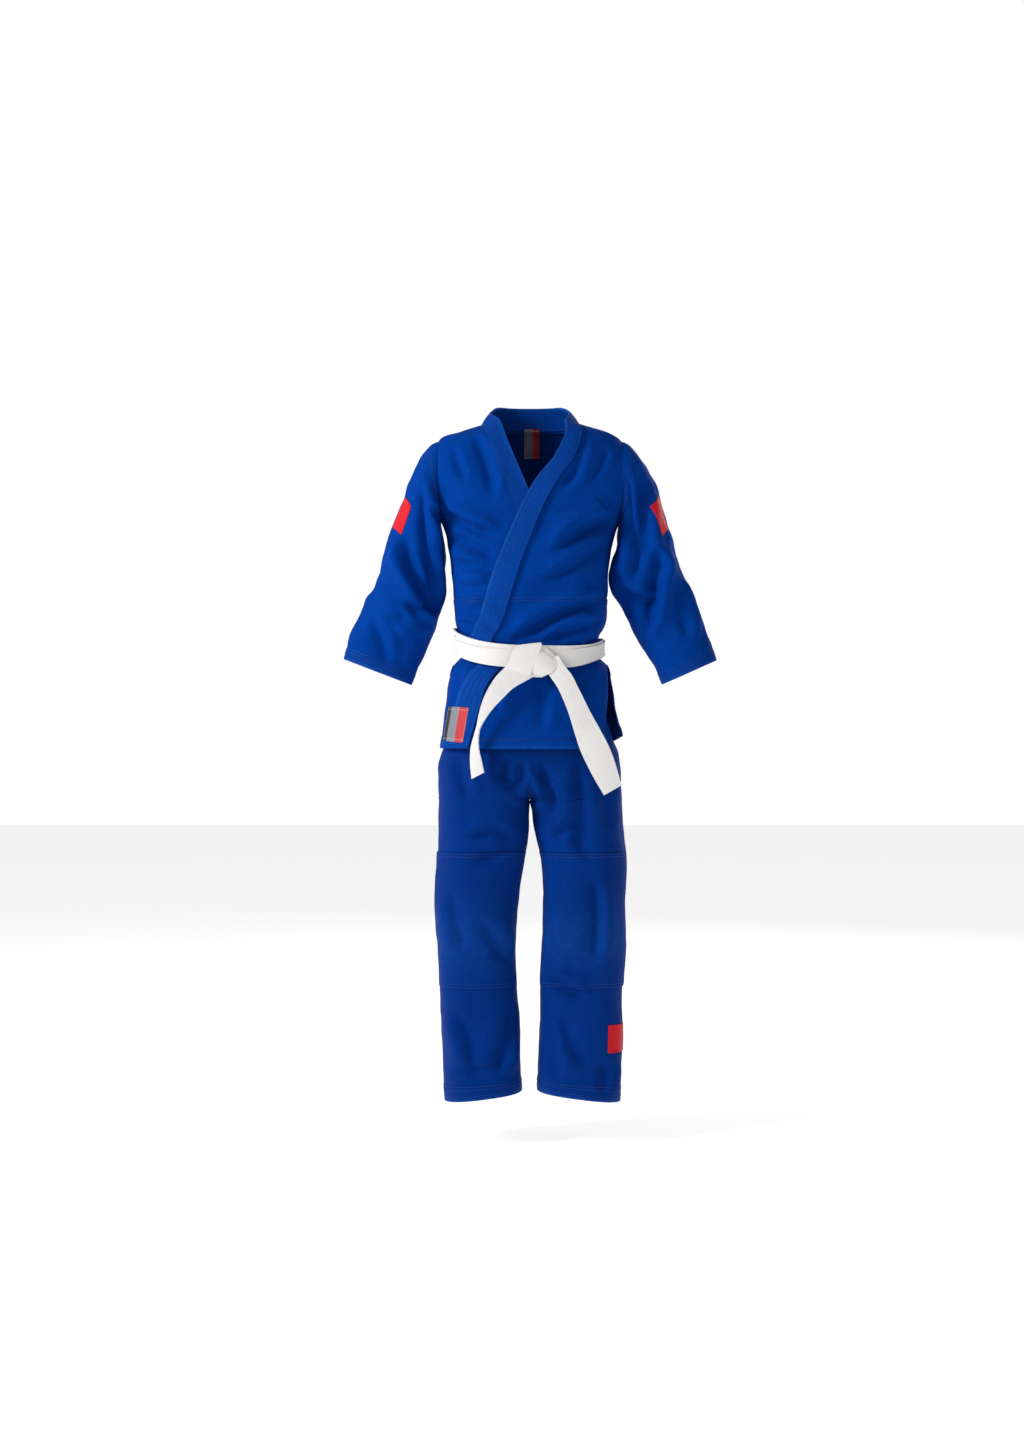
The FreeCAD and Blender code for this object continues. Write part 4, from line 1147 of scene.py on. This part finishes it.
def build_knee_patch(side, grid, materials):
    """A second layer over the front of the knee, sewn down all round."""
    outer, normal, levels = grid
    rows = np.where((levels <= LEG_CUT + 28.0) & (levels >= KNEE_SEAM))[0]
    # Only the columns that face the front carry the patch.
    front = np.where(normal[rows].mean(axis=0)[:, 1] < -0.12)[0]
    columns = slice(front[0], front[-1] + 1)
    up = normal[rows][:, columns]
    skin = outer[rows][:, columns] + up * 0.5 * MM
    top = skin + up * TROUSER_THICK
    own = levels[rows]
    wear = 0.25 * np.exp(-((own[:, None] + 1040) / 60.0) ** 2) * np.ones(top.shape[:2])
    name = f"{side}_knee_patch"
    piece = Piece(name)
    piece.sheet(top, skin, wear=wear)
    piece.stitch_columns(top, up, (0.012, 0.045, 0.955, 0.988))
    marks = np.array([own[0] - 2.0, own[0] - 8.0, own[-1] + 2.0, own[-1] + 8.0])
    piece.stitch_rows(top, up, -own, -marks)
    bodies = (f"{side}_upper_leg", f"{side}_lower_leg")
    shape = piece.place(materials, "trouser_cotton", (name,), *bodies, **KNEE_HINGE)


def build_waistband(materials):
    piece = Piece("waistband")
    tube = Tube([(0, z, w + 1.6, d + 1.6) for z, w, d in HIP_RINGS[:4]], 1, FULL)
    rows = np.unique(np.round(np.concatenate([spaced(0, 0.040, 4 * MM), [0.001, 0.039]]), 6))
    base, normal = limb_grid(tube, rows, 190)
    turn = np.arctan2(base[..., 1], base[..., 0])
    gather = 0.9 * MM * np.sin(turn * 46.0) + 0.5 * MM * np.sin(turn * 29.0 + 1.0)
    outer = base + normal * (2.4 * MM + gather)[..., None]
    inner = outer - normal * 2.2 * MM
    piece.sheet(outer, inner, closed=True)
    piece.stitch_rows(outer, normal, rows, (0.004, 0.012, 0.034), closed=True)
    shape = piece.place(materials, "trouser_cotton", ("waistband",), "trousers")


LOOP_ROWS = 20
LOOP_COLUMNS = 7
LOOP_X = 22.0
LOOP_Y = -97.8


def build_drawstring_loop(side, materials):
    """A short strip that arches out from the waistband."""
    name = f"{side}_drawstring_loop"
    grid = np.zeros((LOOP_ROWS, LOOP_COLUMNS, 3))
    grid[..., 0] = (SIGN[side] * LOOP_X + np.linspace(-4.5, 4.5, LOOP_COLUMNS))[None]
    grid[..., 1] = (LOOP_Y - 5.0 * np.sin(np.linspace(0.0, math.pi, LOOP_ROWS)))[:, None]
    grid[..., 2] = np.linspace(-490.0, -520.0, LOOP_ROWS)[:, None]
    grid = grid * MM
    up = np.zeros_like(grid)
    up[..., 1] = -1.0
    loop = Piece(name)
    loop.sheet(grid, grid - up * 1.2 * MM)
    for column in (1, LOOP_COLUMNS - 2):
        loop.stitches(grid[:, column], up[:, column], **LABEL_THREAD)
    loop.place(materials, "trouser_cotton", (name,), "trousers")


GUSSET_STEPS = 7
GUSSET_TOP = -738.0


def gusset_layer(right, left):
    """The strip in front of the crotch and then the one behind it, from both legs' grids."""
    n = GUSSET_STEPS
    front = np.concatenate([right[:, :n][:, ::-1], left[:, :n]], axis=1)
    back = np.concatenate([right[:, -n:], left[:, -n:][:, ::-1]], axis=1)
    return np.concatenate([front, back[::-1]], axis=0)


def build_gusset(grids, materials):
    """The lining that follows both legs' inner surfaces at the crotch."""
    layers = []
    for layer in (0, 1):
        halves = []
        for side in ("right", "left"):
            levels = grids[side][2]
            rows = np.where((levels < GUSSET_TOP) & (levels > CROTCH[1] - 2))[0]
            halves.append(grids[side][layer][rows])
        layers.append(gusset_layer(*halves))
    skin, lift = layers
    lift /= np.linalg.norm(lift, axis=-1, keepdims=True) + 1e-12
    skin = skin - lift * (TROUSER_THICK + 0.6 * MM)
    piece = Piece("crotch_gusset")
    piece.sheet(skin, skin - lift * 1.2 * MM)
    piece.stitch_columns(skin, lift, (0.04, 0.96))
    piece.place(materials, "trouser_cotton", ("crotch_gusset",), "trousers")


# ---------------------------------------------------------------- belt

BELT_HALF = 20.0
INNER_BELT_LIFT = 13.2 * MM
OUTER_BELT_LIFT = 16.8 * MM
BELT_CLOSER = 6.5 * MM
BELT_LEAN = 0.7
BELT_ROWS = np.linspace(0.08, 0.92, 8)


def belt_level(angle):
    """The belt's middle round the waist: lower in front, a little higher on the right side."""
    turn = np.radians(angle)
    dip = 30.0 * np.maximum(0.0, -np.sin(turn)) ** 1.3
    return -447.0 - dip - 7.0 * np.cos(turn)


def build_wraps(materials):
    for name, lift, shift, gap, seed in (
        ("belt_inner_wrap", INNER_BELT_LIFT, 4.0, 4.0, 5),
        ("belt_outer_wrap", OUTER_BELT_LIFT, -3.0, 3.0, 6),
    ):
        angle = np.linspace(270.0 + gap, 630.0 - gap, 240)[None]
        rows = BELT_HALF * (1 - 2 * shares(11, 0.02))[:, None]
        wander = 1.6 * np.sin(np.radians(angle) * 3 + seed)
        offset = shift * (1 - 0.6 * np.sin(np.radians(angle) + 1.2))
        level = belt_level(angle) + rows + offset + wander
        base = torso.points(torso.along(level), angle)
        base[..., 2] = level * MM
        centre = torso.points(torso.along(belt_level(angle)), angle)
        lean = BELT_LEAN * (base[..., :2] - centre[..., :2])
        base[..., :2] = centre[..., :2] + lean
        normal = outward(base)
        # No lapels lie under the belt at the sides and the back, so it is drawn in closer there.
        closer = BELT_CLOSER * (1 - ease((0.45 - np.sin(np.radians(angle))) / 0.9))
        outer = base + normal * (lift - closer + 0.5 * MM * ripple(base, seed, 0.08))[..., None]
        inner = outer - normal * BELT_THICK
        piece = Piece(name)
        piece.sheet(outer, inner)
        for share in BELT_ROWS:
            row = share * (outer.shape[0] - 1)
            line = row_at(outer, np.arange(outer.shape[0]), row)
            up = row_at(normal, np.arange(outer.shape[0]), row)
            piece.stitches(line, up, **BELT_THREAD)
        shape = piece.place(materials, "belt_cotton", (name,), "jacket")


RIBBON_COLUMNS = 11


def ribbon(piece, stations, thick, ripples, seed):
    """A flat band between two edges. A station is (x, y, z) of one edge and then of the other.
    Returns the band's length."""
    table = np.array(stations, float) * MM
    middle = (table[:, :3] + table[:, 3:]) / 2
    run = np.concatenate([[0], np.cumsum(np.linalg.norm(np.diff(middle, axis=0), axis=1))])
    at = run[-1] * shares(int(run[-1] / (4 * MM)) + 3, 0.004)
    table = through(run, table, at, loose=True)
    across = shares(RIBBON_COLUMNS, 0.03)[None, :, None]
    base = table[:, None, :3] * (1 - across) + table[:, None, 3:] * across
    normal = grid_normals(base)
    if normal[0, :, 1].sum() > 0:
        normal = -normal
    cup = 0.8 * MM * np.sin(math.pi * across[..., 0])
    height = cup + ripples * MM * ripple(base, seed, 0.07)
    outer = base + normal * (height + thick / 2)[..., None]
    inner = outer - normal * thick
    piece.sheet(outer, inner)
    piece.stitch_columns(outer, normal, BELT_ROWS, **BELT_THREAD)
    piece.stitch_columns(inner, -normal, BELT_ROWS, **BELT_THREAD)
    return run[-1]


# Edges of the belt's parts that show in front, one edge and then the other.
RIGHT_TAIL = [
    (-33, -134, -479, 14, -136, -508),
    (-50, -139, -497, 2, -141, -518),
    (-67, -141, -514, -14, -143, -527),
    (-80, -141, -533, -34, -143, -539),
    (-92, -140, -556, -58, -142, -562),
    (-99, -138, -576, -74, -141, -579),
    (-104, -136, -598, -90, -140, -601),
    (-107, -134, -616, -100, -139, -619),
    (-112, -132, -634, -103, -139, -638),
    (-118, -131, -655, -102, -139, -660),
    (-120, -131, -682, -97, -138, -682),
    (-117, -131, -719, -92, -137, -706),
]
LEFT_TAIL = [
    (22, -133, -492, 55, -131, -474),
    (37, -138, -514, 66, -136, -494),
    (52, -140, -536, 80, -139, -511),
    (65, -141, -563, 92, -140, -534),
    (76, -141, -592, 105, -140, -560),
    (87, -140, -628, 119, -139, -588),
    (99, -140, -664, 139, -138, -624),
    (117, -140, -702, 159, -137, -664),
    (145, -140, -751, 180, -136, -731),
]
# The knot: the turn under it, the flap that crosses it and the part that runs into the left tail.
KNOT_UNDER = [
    (-26, -126, -466, -36, -128, -492),
    (-8, -132, -456, -16, -134, -503),
    (14, -134, -452, 8, -136, -512),
    (34, -132, -462, 32, -134, -509),
    (52, -127, -477, 47, -128, -500),
]
KNOT_FLAP = [
    (16, -128, -449, 58, -126, -487),
    (10, -137, -455, 57, -133, -490),
    (7, -141, -468, 50, -138, -500),
    (0, -142, -487, 40, -141, -508),
    (-3, -139, -505, 30, -138, -513),
    (-4, -133, -515, 22, -132, -516),
]
KNOT_ROLL = [
    (-28, -130, -456, 21, -132, -450),
    (-34, -137, -464, 22, -138, -455),
    (-40, -139, -477, 14, -141, -474),
    (-46, -139, -490, 4, -142, -498),
    (-52, -138, -500, -1, -140, -514),
]


def build_belt_front(materials):
    knot = Piece("belt_knot")
    ribbon(knot, KNOT_UNDER, 5.0 * MM, 0.5, 2)
    ribbon(knot, KNOT_ROLL, 4.2 * MM, 0.5, 3)
    ribbon(knot, KNOT_FLAP, 3.6 * MM, 0.4, 4)
    knot.place(materials, "belt_cotton", ("belt_knot",), "jacket")
    for side, table in (("right", RIGHT_TAIL), ("left", LEFT_TAIL)):
        name = f"{side}_belt_tail"
        piece = Piece(name)
        length = ribbon(piece, table, BELT_THICK, 0.5, 7)
        shape = piece.place(materials, "belt_cotton", (name,), f"{side}_tail")


# ---------------------------------------------------------------- small trim

# Level and the two edges of the label on the over lapel's end, at its top and at its bottom.
SKIRT_LABEL = ((-577, -157, -119), (-647, -168, -131))
SKIRT_LABEL_TILT = -3.0
SKIRT_LABEL_LIFT = 9.2 * MM
# Depth of the neck's inside by level, where the neck label lies against it.
NECK_DEPTHS = ([-58, -31, -14, -2, 13], [101, 93, 83, 68.5, 64])
NECK_LABEL_GAP = 6.5
NECK_LABEL_ROWS = 16
VENT_PATCH_LEVELS = (-490.0, -512.0)
VENT_PATCH_HALF = 9.0
LEG_PATCH_LEVELS = (1216.0, 1272.0)
LEG_PATCH_X = 150


def build_skirt_label(materials):
    (top, top_a, top_b), (bottom, end_a, end_b) = SKIRT_LABEL
    levels = np.linspace(top, bottom, 14)[:, None]
    across = shares(10, 0.02)[None]
    down = (top - levels) / (top - bottom)
    x = (top_a + (top_b - top_a) * across) * (1 - down) + (end_a + (end_b - end_a) * across) * down
    along = torso.along(levels + SKIRT_LABEL_TILT * (across - 0.5))
    angle = torso.front_angle(along.ravel(), x.ravel() * MM).reshape(along.shape)
    base = torso.points(along, angle)
    normal = outward(base)
    if normal[..., 1].sum() > 0:
        normal = -normal
    outer = base + normal * (body_height(base, normal) + SKIRT_LABEL_LIFT)[..., None]
    piece = Piece("skirt_label")
    piece.sheet(outer, outer - normal * PATCH_THICK)
    piece.stitch_edges(outer, normal, **LABEL_THREAD)
    shape = piece.place(materials, "woven_label", ("skirt_label",), "jacket")


def build_neck_label(materials):
    rows = np.linspace(0, -58, NECK_LABEL_ROWS)
    across = shares(10, 0.02)
    grid = np.zeros((NECK_LABEL_ROWS, len(across), 3))
    grid[..., 0] = (-12 + 32 * across)[None]
    grid[..., 1] = (np.interp(rows, *NECK_DEPTHS) - NECK_LABEL_GAP)[:, None]
    grid[..., 2] = rows[:, None]
    grid = grid * MM
    normal = grid_normals(grid)
    if normal[..., 1].sum() > 0:
        normal = -normal
    outer = grid + normal * 1.0 * MM
    piece = Piece("neck_label")
    piece.sheet(outer, outer - normal * 0.9 * MM)
    for index in (1, -2):
        piece.stitches(outer[index], normal[index], **LABEL_THREAD)
    shape = piece.place(materials, "woven_label", ("neck_label",), "jacket")


def build_vent_patch(side, middle, materials):
    levels = np.linspace(*VENT_PATCH_LEVELS, 10)[:, None]
    angle = middle + VENT_PATCH_HALF * (2 * shares(10, 0.02) - 1)[None]
    base = torso.points(torso.along(levels), angle)
    normal = outward(base)
    if (normal * base)[..., 0].sum() < 0:
        normal = -normal
    outer = base + normal * (body_height(base, normal) + 1.5 * MM)[..., None]
    name = f"{side}_vent_patch"
    piece = Piece(name)
    piece.sheet(outer, outer - normal * 1.4 * MM)
    piece.stitch_edges(outer, normal)
    shape = piece.place(materials, "jacket_cotton", (name,), "jacket")


def build_leg_patch(grid, materials):
    outer, normal, levels = grid
    rows = np.interp(LEG_PATCH_LEVELS, -levels, np.arange(len(levels)))
    row = outer[int(rows.mean())]
    front = np.where((row[:, 1] < 0) & (row[:, 0] / MM > LEG_PATCH_X))[0]
    piece = lifted_patch("leg_patch", rows, (front[0] + 1, front[-1] - 1), outer, normal)
    shape = piece.place(materials, "red_patch", ("leg_patch",), "left_lower_leg")


# ---------------------------------------------------------------- materials

def srgb(red, green, blue):
    def linear(value):
        value = value / 255.0
        return value / 12.92 if value <= 0.04045 else ((value + 0.055) / 1.055) ** 2.4
    return (linear(red), linear(green), linear(blue), 1.0)


class Finish:
    """A node material, with short ways to add and join nodes."""

    def __init__(self, name):
        self.material = bpy.data.materials.new(name)
        self.material.use_nodes = True
        self.tree = self.material.node_tree
        self.shader = self.tree.nodes["Principled BSDF"]

    def add(self, kind, **settings):
        made = self.tree.nodes.new(kind)
        for key, value in settings.items():
            setattr(made, key, value)
        return made

    def join(self, source, target):
        self.tree.links.new(source, target)

    def math(self, operation, first, second=0.0, third=0.0):
        made = self.add("ShaderNodeMath", operation=operation)
        for socket, value in zip(made.inputs, (first, second, third)):
            if isinstance(value, (int, float)):
                socket.default_value = value
            else:
                self.join(value, socket)
        return made.outputs[0]

    def uv(self):
        return self.add("ShaderNodeUVMap", uv_map="cloth").outputs[0]

    def split(self, vector):
        made = self.add("ShaderNodeSeparateXYZ")
        self.join(vector, made.inputs[0])
        return made.outputs[0], made.outputs[1]

    def blend(self, factor, first, second, kind="MIX"):
        made = self.add("ShaderNodeMix", data_type="RGBA", blend_type=kind)
        for index, value in ((0, factor), (6, first), (7, second)):
            socket = made.inputs[index]
            if isinstance(value, (int, float, tuple)):
                socket.default_value = value
            else:
                self.join(value, socket)
        return made.outputs[2]

    def noise(self, vector, scale, detail=3.0):
        made = self.add("ShaderNodeTexNoise")
        made.inputs["Scale"].default_value = scale
        made.inputs["Detail"].default_value = detail
        self.join(vector, made.inputs["Vector"])
        return made.outputs["Fac"]

    def span(self, value, low, high):
        made = self.add("ShaderNodeMapRange")
        self.join(value, made.inputs[0])
        made.inputs[1].default_value = 0.3
        made.inputs[2].default_value = 0.7
        made.inputs[3].default_value = low
        made.inputs[4].default_value = high
        return made.outputs[0]

    def bump(self, height, strength, distance):
        made = self.add("ShaderNodeBump")
        made.inputs["Strength"].default_value = strength
        made.inputs["Distance"].default_value = distance
        self.join(height, made.inputs["Height"])
        self.join(made.outputs[0], self.shader.inputs["Normal"])


def cloth_finish(name, base, worn, weave, roughness, sheen, sheen_tint, uneven=1.0):
    finish = Finish(name)
    uv = finish.uv()
    across, down = finish.split(uv)
    two_pi = 2 * math.pi
    if weave == "rice":
        # Rice-grain weave: staggered oval grains, 3.2 mm by 1.9 mm.
        row = finish.math("SINE", finish.math("MULTIPLY", down, two_pi / 0.0038))
        column = finish.math("MULTIPLY", across, two_pi / 0.0064)
        grain = finish.math("MULTIPLY", row, finish.math("SINE", column))
        height = finish.math("ABSOLUTE", grain)
        depth = 0.0006
    elif weave == "drill":
        # Drill: fine diagonal ribs, 1.4 mm apart.
        slant = finish.math("ADD", across, finish.math("MULTIPLY", down, 0.7))
        height = finish.math("SINE", finish.math("MULTIPLY", slant, two_pi / 0.0014))
        depth = 0.0002
    elif weave == "ribs":
        # Band: ribs along its length, 1.6 mm apart.
        ribs = finish.math("SINE", finish.math("MULTIPLY", across, two_pi / 0.0016))
        cross = finish.math("SINE", finish.math("MULTIPLY", down, two_pi / 0.0021))
        height = finish.math("ADD", ribs, finish.math("MULTIPLY", cross, 0.5))
        depth = 0.0003
    else:
        plain = finish.math("SINE", finish.math("MULTIPLY", across, two_pi / 0.0012))
        cross = finish.math("SINE", finish.math("MULTIPLY", down, two_pi / 0.0012))
        height = finish.math("MULTIPLY", plain, cross)
        depth = 0.0002
    fuzz = finish.noise(uv, 900.0, 2.0)
    finish.bump(finish.math("ADD", height, finish.math("MULTIPLY", fuzz, 0.7)), 0.5, depth)
    broad = finish.span(finish.noise(uv, 7.0), -0.10 * uneven, 0.10 * uneven)
    fine = finish.span(finish.noise(uv, 130.0), -0.07 * uneven, 0.07 * uneven)
    shade = finish.math("ADD", finish.math("ADD", broad, fine), 1.0)
    # The weave's ridges are painted lighter and its hollows darker, from the bump height: painted
    # shade in the weave, added to the random tone.
    tone_and_painted_weave_shade = finish.math("ADD", finish.math("MULTIPLY", height, 0.05), shade)
    tone = finish.add("ShaderNodeVectorMath", operation="SCALE")
    tone.inputs[0].default_value = base[:3]
    finish.join(tone_and_painted_weave_shade, tone.inputs[3])
    wear = finish.add("ShaderNodeAttribute", attribute_name="wear")
    patchy = finish.span(finish.noise(uv, 60.0), 0.25, 0.85)
    amount = finish.math("MULTIPLY", finish.math("MULTIPLY", wear.outputs["Fac"], patchy), 0.6)
    finish.join(finish.blend(amount, tone.outputs[0], worn), finish.shader.inputs["Base Color"])
    finish.shader.inputs["Roughness"].default_value = roughness
    finish.shader.inputs["Specular IOR Level"].default_value = 0.12
    finish.shader.inputs["Specular Tint"].default_value = sheen_tint
    finish.shader.inputs["Sheen Weight"].default_value = sheen
    finish.shader.inputs["Sheen Roughness"].default_value = 0.5
    finish.shader.inputs["Sheen Tint"].default_value = sheen_tint
    return finish.material


def thread_finish(name, colour):
    finish = Finish(name)
    finish.shader.inputs["Base Color"].default_value = colour
    finish.shader.inputs["Roughness"].default_value = 0.55
    return finish.material


def label_finish(name):
    """A plain woven label: half grey and half red, with a dark line at one edge."""
    finish = Finish(name)
    uv = finish.uv()
    across, down = finish.split(uv)
    red_half = finish.math("GREATER_THAN", across, 0.0005)
    colour = finish.blend(red_half, LABEL_GREY, LABEL_RED)
    dark = finish.math("LESS_THAN", across, -0.024)
    colour = finish.blend(dark, colour, LABEL_DARK)
    weave = finish.math("SINE", finish.math("MULTIPLY", down, 2 * math.pi / 0.0007))
    finish.bump(weave, 0.4, 0.0002)
    tone = finish.span(finish.noise(uv, 300.0), 0.92, 1.05)
    shaded = finish.add("ShaderNodeVectorMath", operation="SCALE")
    finish.join(colour, shaded.inputs[0])
    finish.join(tone, shaded.inputs[3])
    finish.join(shaded.outputs[0], finish.shader.inputs["Base Color"])
    finish.shader.inputs["Roughness"].default_value = 0.5
    return finish.material


BLUE = srgb(2, 57, 143)
BLUE_WORN = srgb(40, 104, 188)
BLUE_BAND = srgb(5, 64, 152)
BLUE_LEG = srgb(4, 47, 123)
BLUE_SHEEN = srgb(30, 90, 210)
WHITE = srgb(238, 236, 234)
WHITE_WORN = srgb(220, 216, 208)
WHITE_SHEEN = (1, 1, 1, 1)
RED = srgb(214, 22, 38)
RED_WORN = srgb(225, 70, 80)
RED_SHEEN = (1, 0.6, 0.6, 1)
LABEL_GREY = srgb(128, 130, 138)
LABEL_RED = srgb(196, 24, 38)
LABEL_DARK = srgb(34, 36, 44)

blue_thread = thread_finish("blue_thread", srgb(4, 56, 138))
white_thread = thread_finish("white_thread", srgb(232, 230, 228))
red_thread = thread_finish("red_thread", srgb(190, 16, 32))
jacket_cloth = cloth_finish("jacket_rice_weave", BLUE, BLUE_WORN, "rice", 0.9, 0.12, BLUE_SHEEN)
band_cloth = cloth_finish("lapel_band_weave", BLUE_BAND, BLUE_WORN, "ribs", 0.85, 0.12, BLUE_SHEEN)
leg_cloth = cloth_finish("trouser_drill", BLUE_LEG, BLUE_WORN, "drill", 0.65, 0.2, BLUE_SHEEN)
belt_cloth = cloth_finish("belt_weave", WHITE, WHITE_WORN, "ribs", 0.75, 0.2, WHITE_SHEEN, 0.3)
red_cloth = cloth_finish("red_patch_weave", RED, RED_WORN, "plain", 0.6, 0.15, RED_SHEEN)
label_cloth = label_finish("woven_label_cloth")

kit = {
    "jacket": [jacket_cloth, blue_thread],
    "band": [band_cloth, blue_thread],
    "leg": [leg_cloth, blue_thread],
    "belt": [belt_cloth, white_thread],
    "red": [red_cloth, red_thread],
    "label": [label_cloth, white_thread],
}


# ---------------------------------------------------------------- the whole uniform

build_fronts(kit["jacket"])
build_back(kit["jacket"])
build_band(kit["band"])
for arm in ("right", "left"):
    build_badge(arm, build_sleeve(arm, kit["jacket"]), kit["red"])
legs = {arm: build_leg(arm, kit["leg"]) for arm in ("right", "left")}
for arm in ("right", "left"):
    build_knee_patch(arm, legs[arm], kit["leg"])
build_waistband(kit["leg"])
build_drawstring_loop("left", kit["leg"])
build_drawstring_loop("right", kit["leg"])
build_gusset(legs, kit["leg"])
build_wraps(kit["belt"])
build_belt_front(kit["belt"])
build_skirt_label(kit["label"])
build_neck_label(kit["label"])
build_vent_patch("left", 0.0, kit["jacket"])
build_vent_patch("right", 180.0, kit["jacket"])
build_leg_patch(legs["left"], kit["red"])


# ---------------------------------------------------------------- studio

def area_light(name, place, target, size, power):
    light = bpy.data.lights.new(name, "AREA")
    light.shape = "RECTANGLE"
    light.size = size[0]
    light.size_y = size[1]
    light.energy = power
    lamp = bpy.data.objects.new(name, light)
    bpy.context.scene.collection.objects.link(lamp)
    lamp.location = place
    aim = np.array(target, float) - np.array(place, float)
    yaw = math.atan2(aim[1], aim[0])
    pitch = math.atan2(aim[2], math.hypot(aim[0], aim[1]))
    lamp.rotation_euler = (math.pi / 2 + pitch, 0.0, yaw - math.pi / 2)


area_light("key_light", (-3.5, -2.0, 1.5), (0, 0, -0.5), (1.3, 1.6), 165)
area_light("fill_light", (3.2, -3.0, 0.2), (0, 0, -0.7), (2.0, 2.0), 5)
area_light("back_light", (1.6, 3.4, 1.2), (0, 0, -0.6), (2.2, 2.2), 60)

world = bpy.context.scene.world or bpy.data.worlds.new("studio")
bpy.context.scene.world = world
world.use_nodes = True
backdrop = world.node_tree.nodes["Background"]
backdrop.inputs["Color"].default_value = (1.0, 1.0, 1.0, 1.0)
# The camera sees a white backdrop, and the cloth is lit by a dimmer one.
seen_directly = world.node_tree.nodes.new("ShaderNodeLightPath")
brightness = world.node_tree.nodes.new("ShaderNodeMapRange")
brightness.inputs[3].default_value = 0.30
brightness.inputs[4].default_value = 1.0
world.node_tree.links.new(seen_directly.outputs["Is Camera Ray"], brightness.inputs[0])
world.node_tree.links.new(brightness.outputs[0], backdrop.inputs["Strength"])
bpy.context.scene.view_settings.view_transform = "Standard"

FLOOR_Z = -1.46
FLOOR_HALF = 14
FLOOR_CORNERS = ((-1, -1), (1, -1), (1, 1), (-1, 1))
floor_corners = [(x * FLOOR_HALF, y * FLOOR_HALF, FLOOR_Z) for x, y in FLOOR_CORNERS]
floor_mesh = bpy.data.meshes.new("floor")
floor_mesh.from_pydata(floor_corners, [], [(0, 1, 2, 3)])
floor = bpy.data.objects.new("floor", floor_mesh)
bpy.context.scene.collection.objects.link(floor)
floor_finish = Finish("floor_paper")
floor_finish.shader.inputs["Base Color"].default_value = (0.5, 0.5, 0.5, 1.0)
floor_finish.shader.inputs["Roughness"].default_value = 0.9
floor_finish.shader.inputs["Emission Color"].default_value = (1.0, 1.0, 1.0, 1.0)
floor_finish.shader.inputs["Emission Strength"].default_value = 0.72
floor_mesh.materials.append(floor_finish.material)

camera_data = bpy.data.cameras.new("photo_camera")
camera_data.sensor_fit = "VERTICAL"
camera_data.sensor_height = 36.0
camera_data.lens = 54.8
camera = bpy.data.objects.new("photo_camera", camera_data)
bpy.context.scene.collection.objects.link(camera)
camera.location = (-0.037, -4.5, -0.61)
camera.rotation_euler = (math.pi / 2, 0.0, 0.0)
bpy.context.scene.camera = camera

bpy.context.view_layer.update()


def plain(box):
    return [[round(float(value), 4) for value in corner] for corner in box]
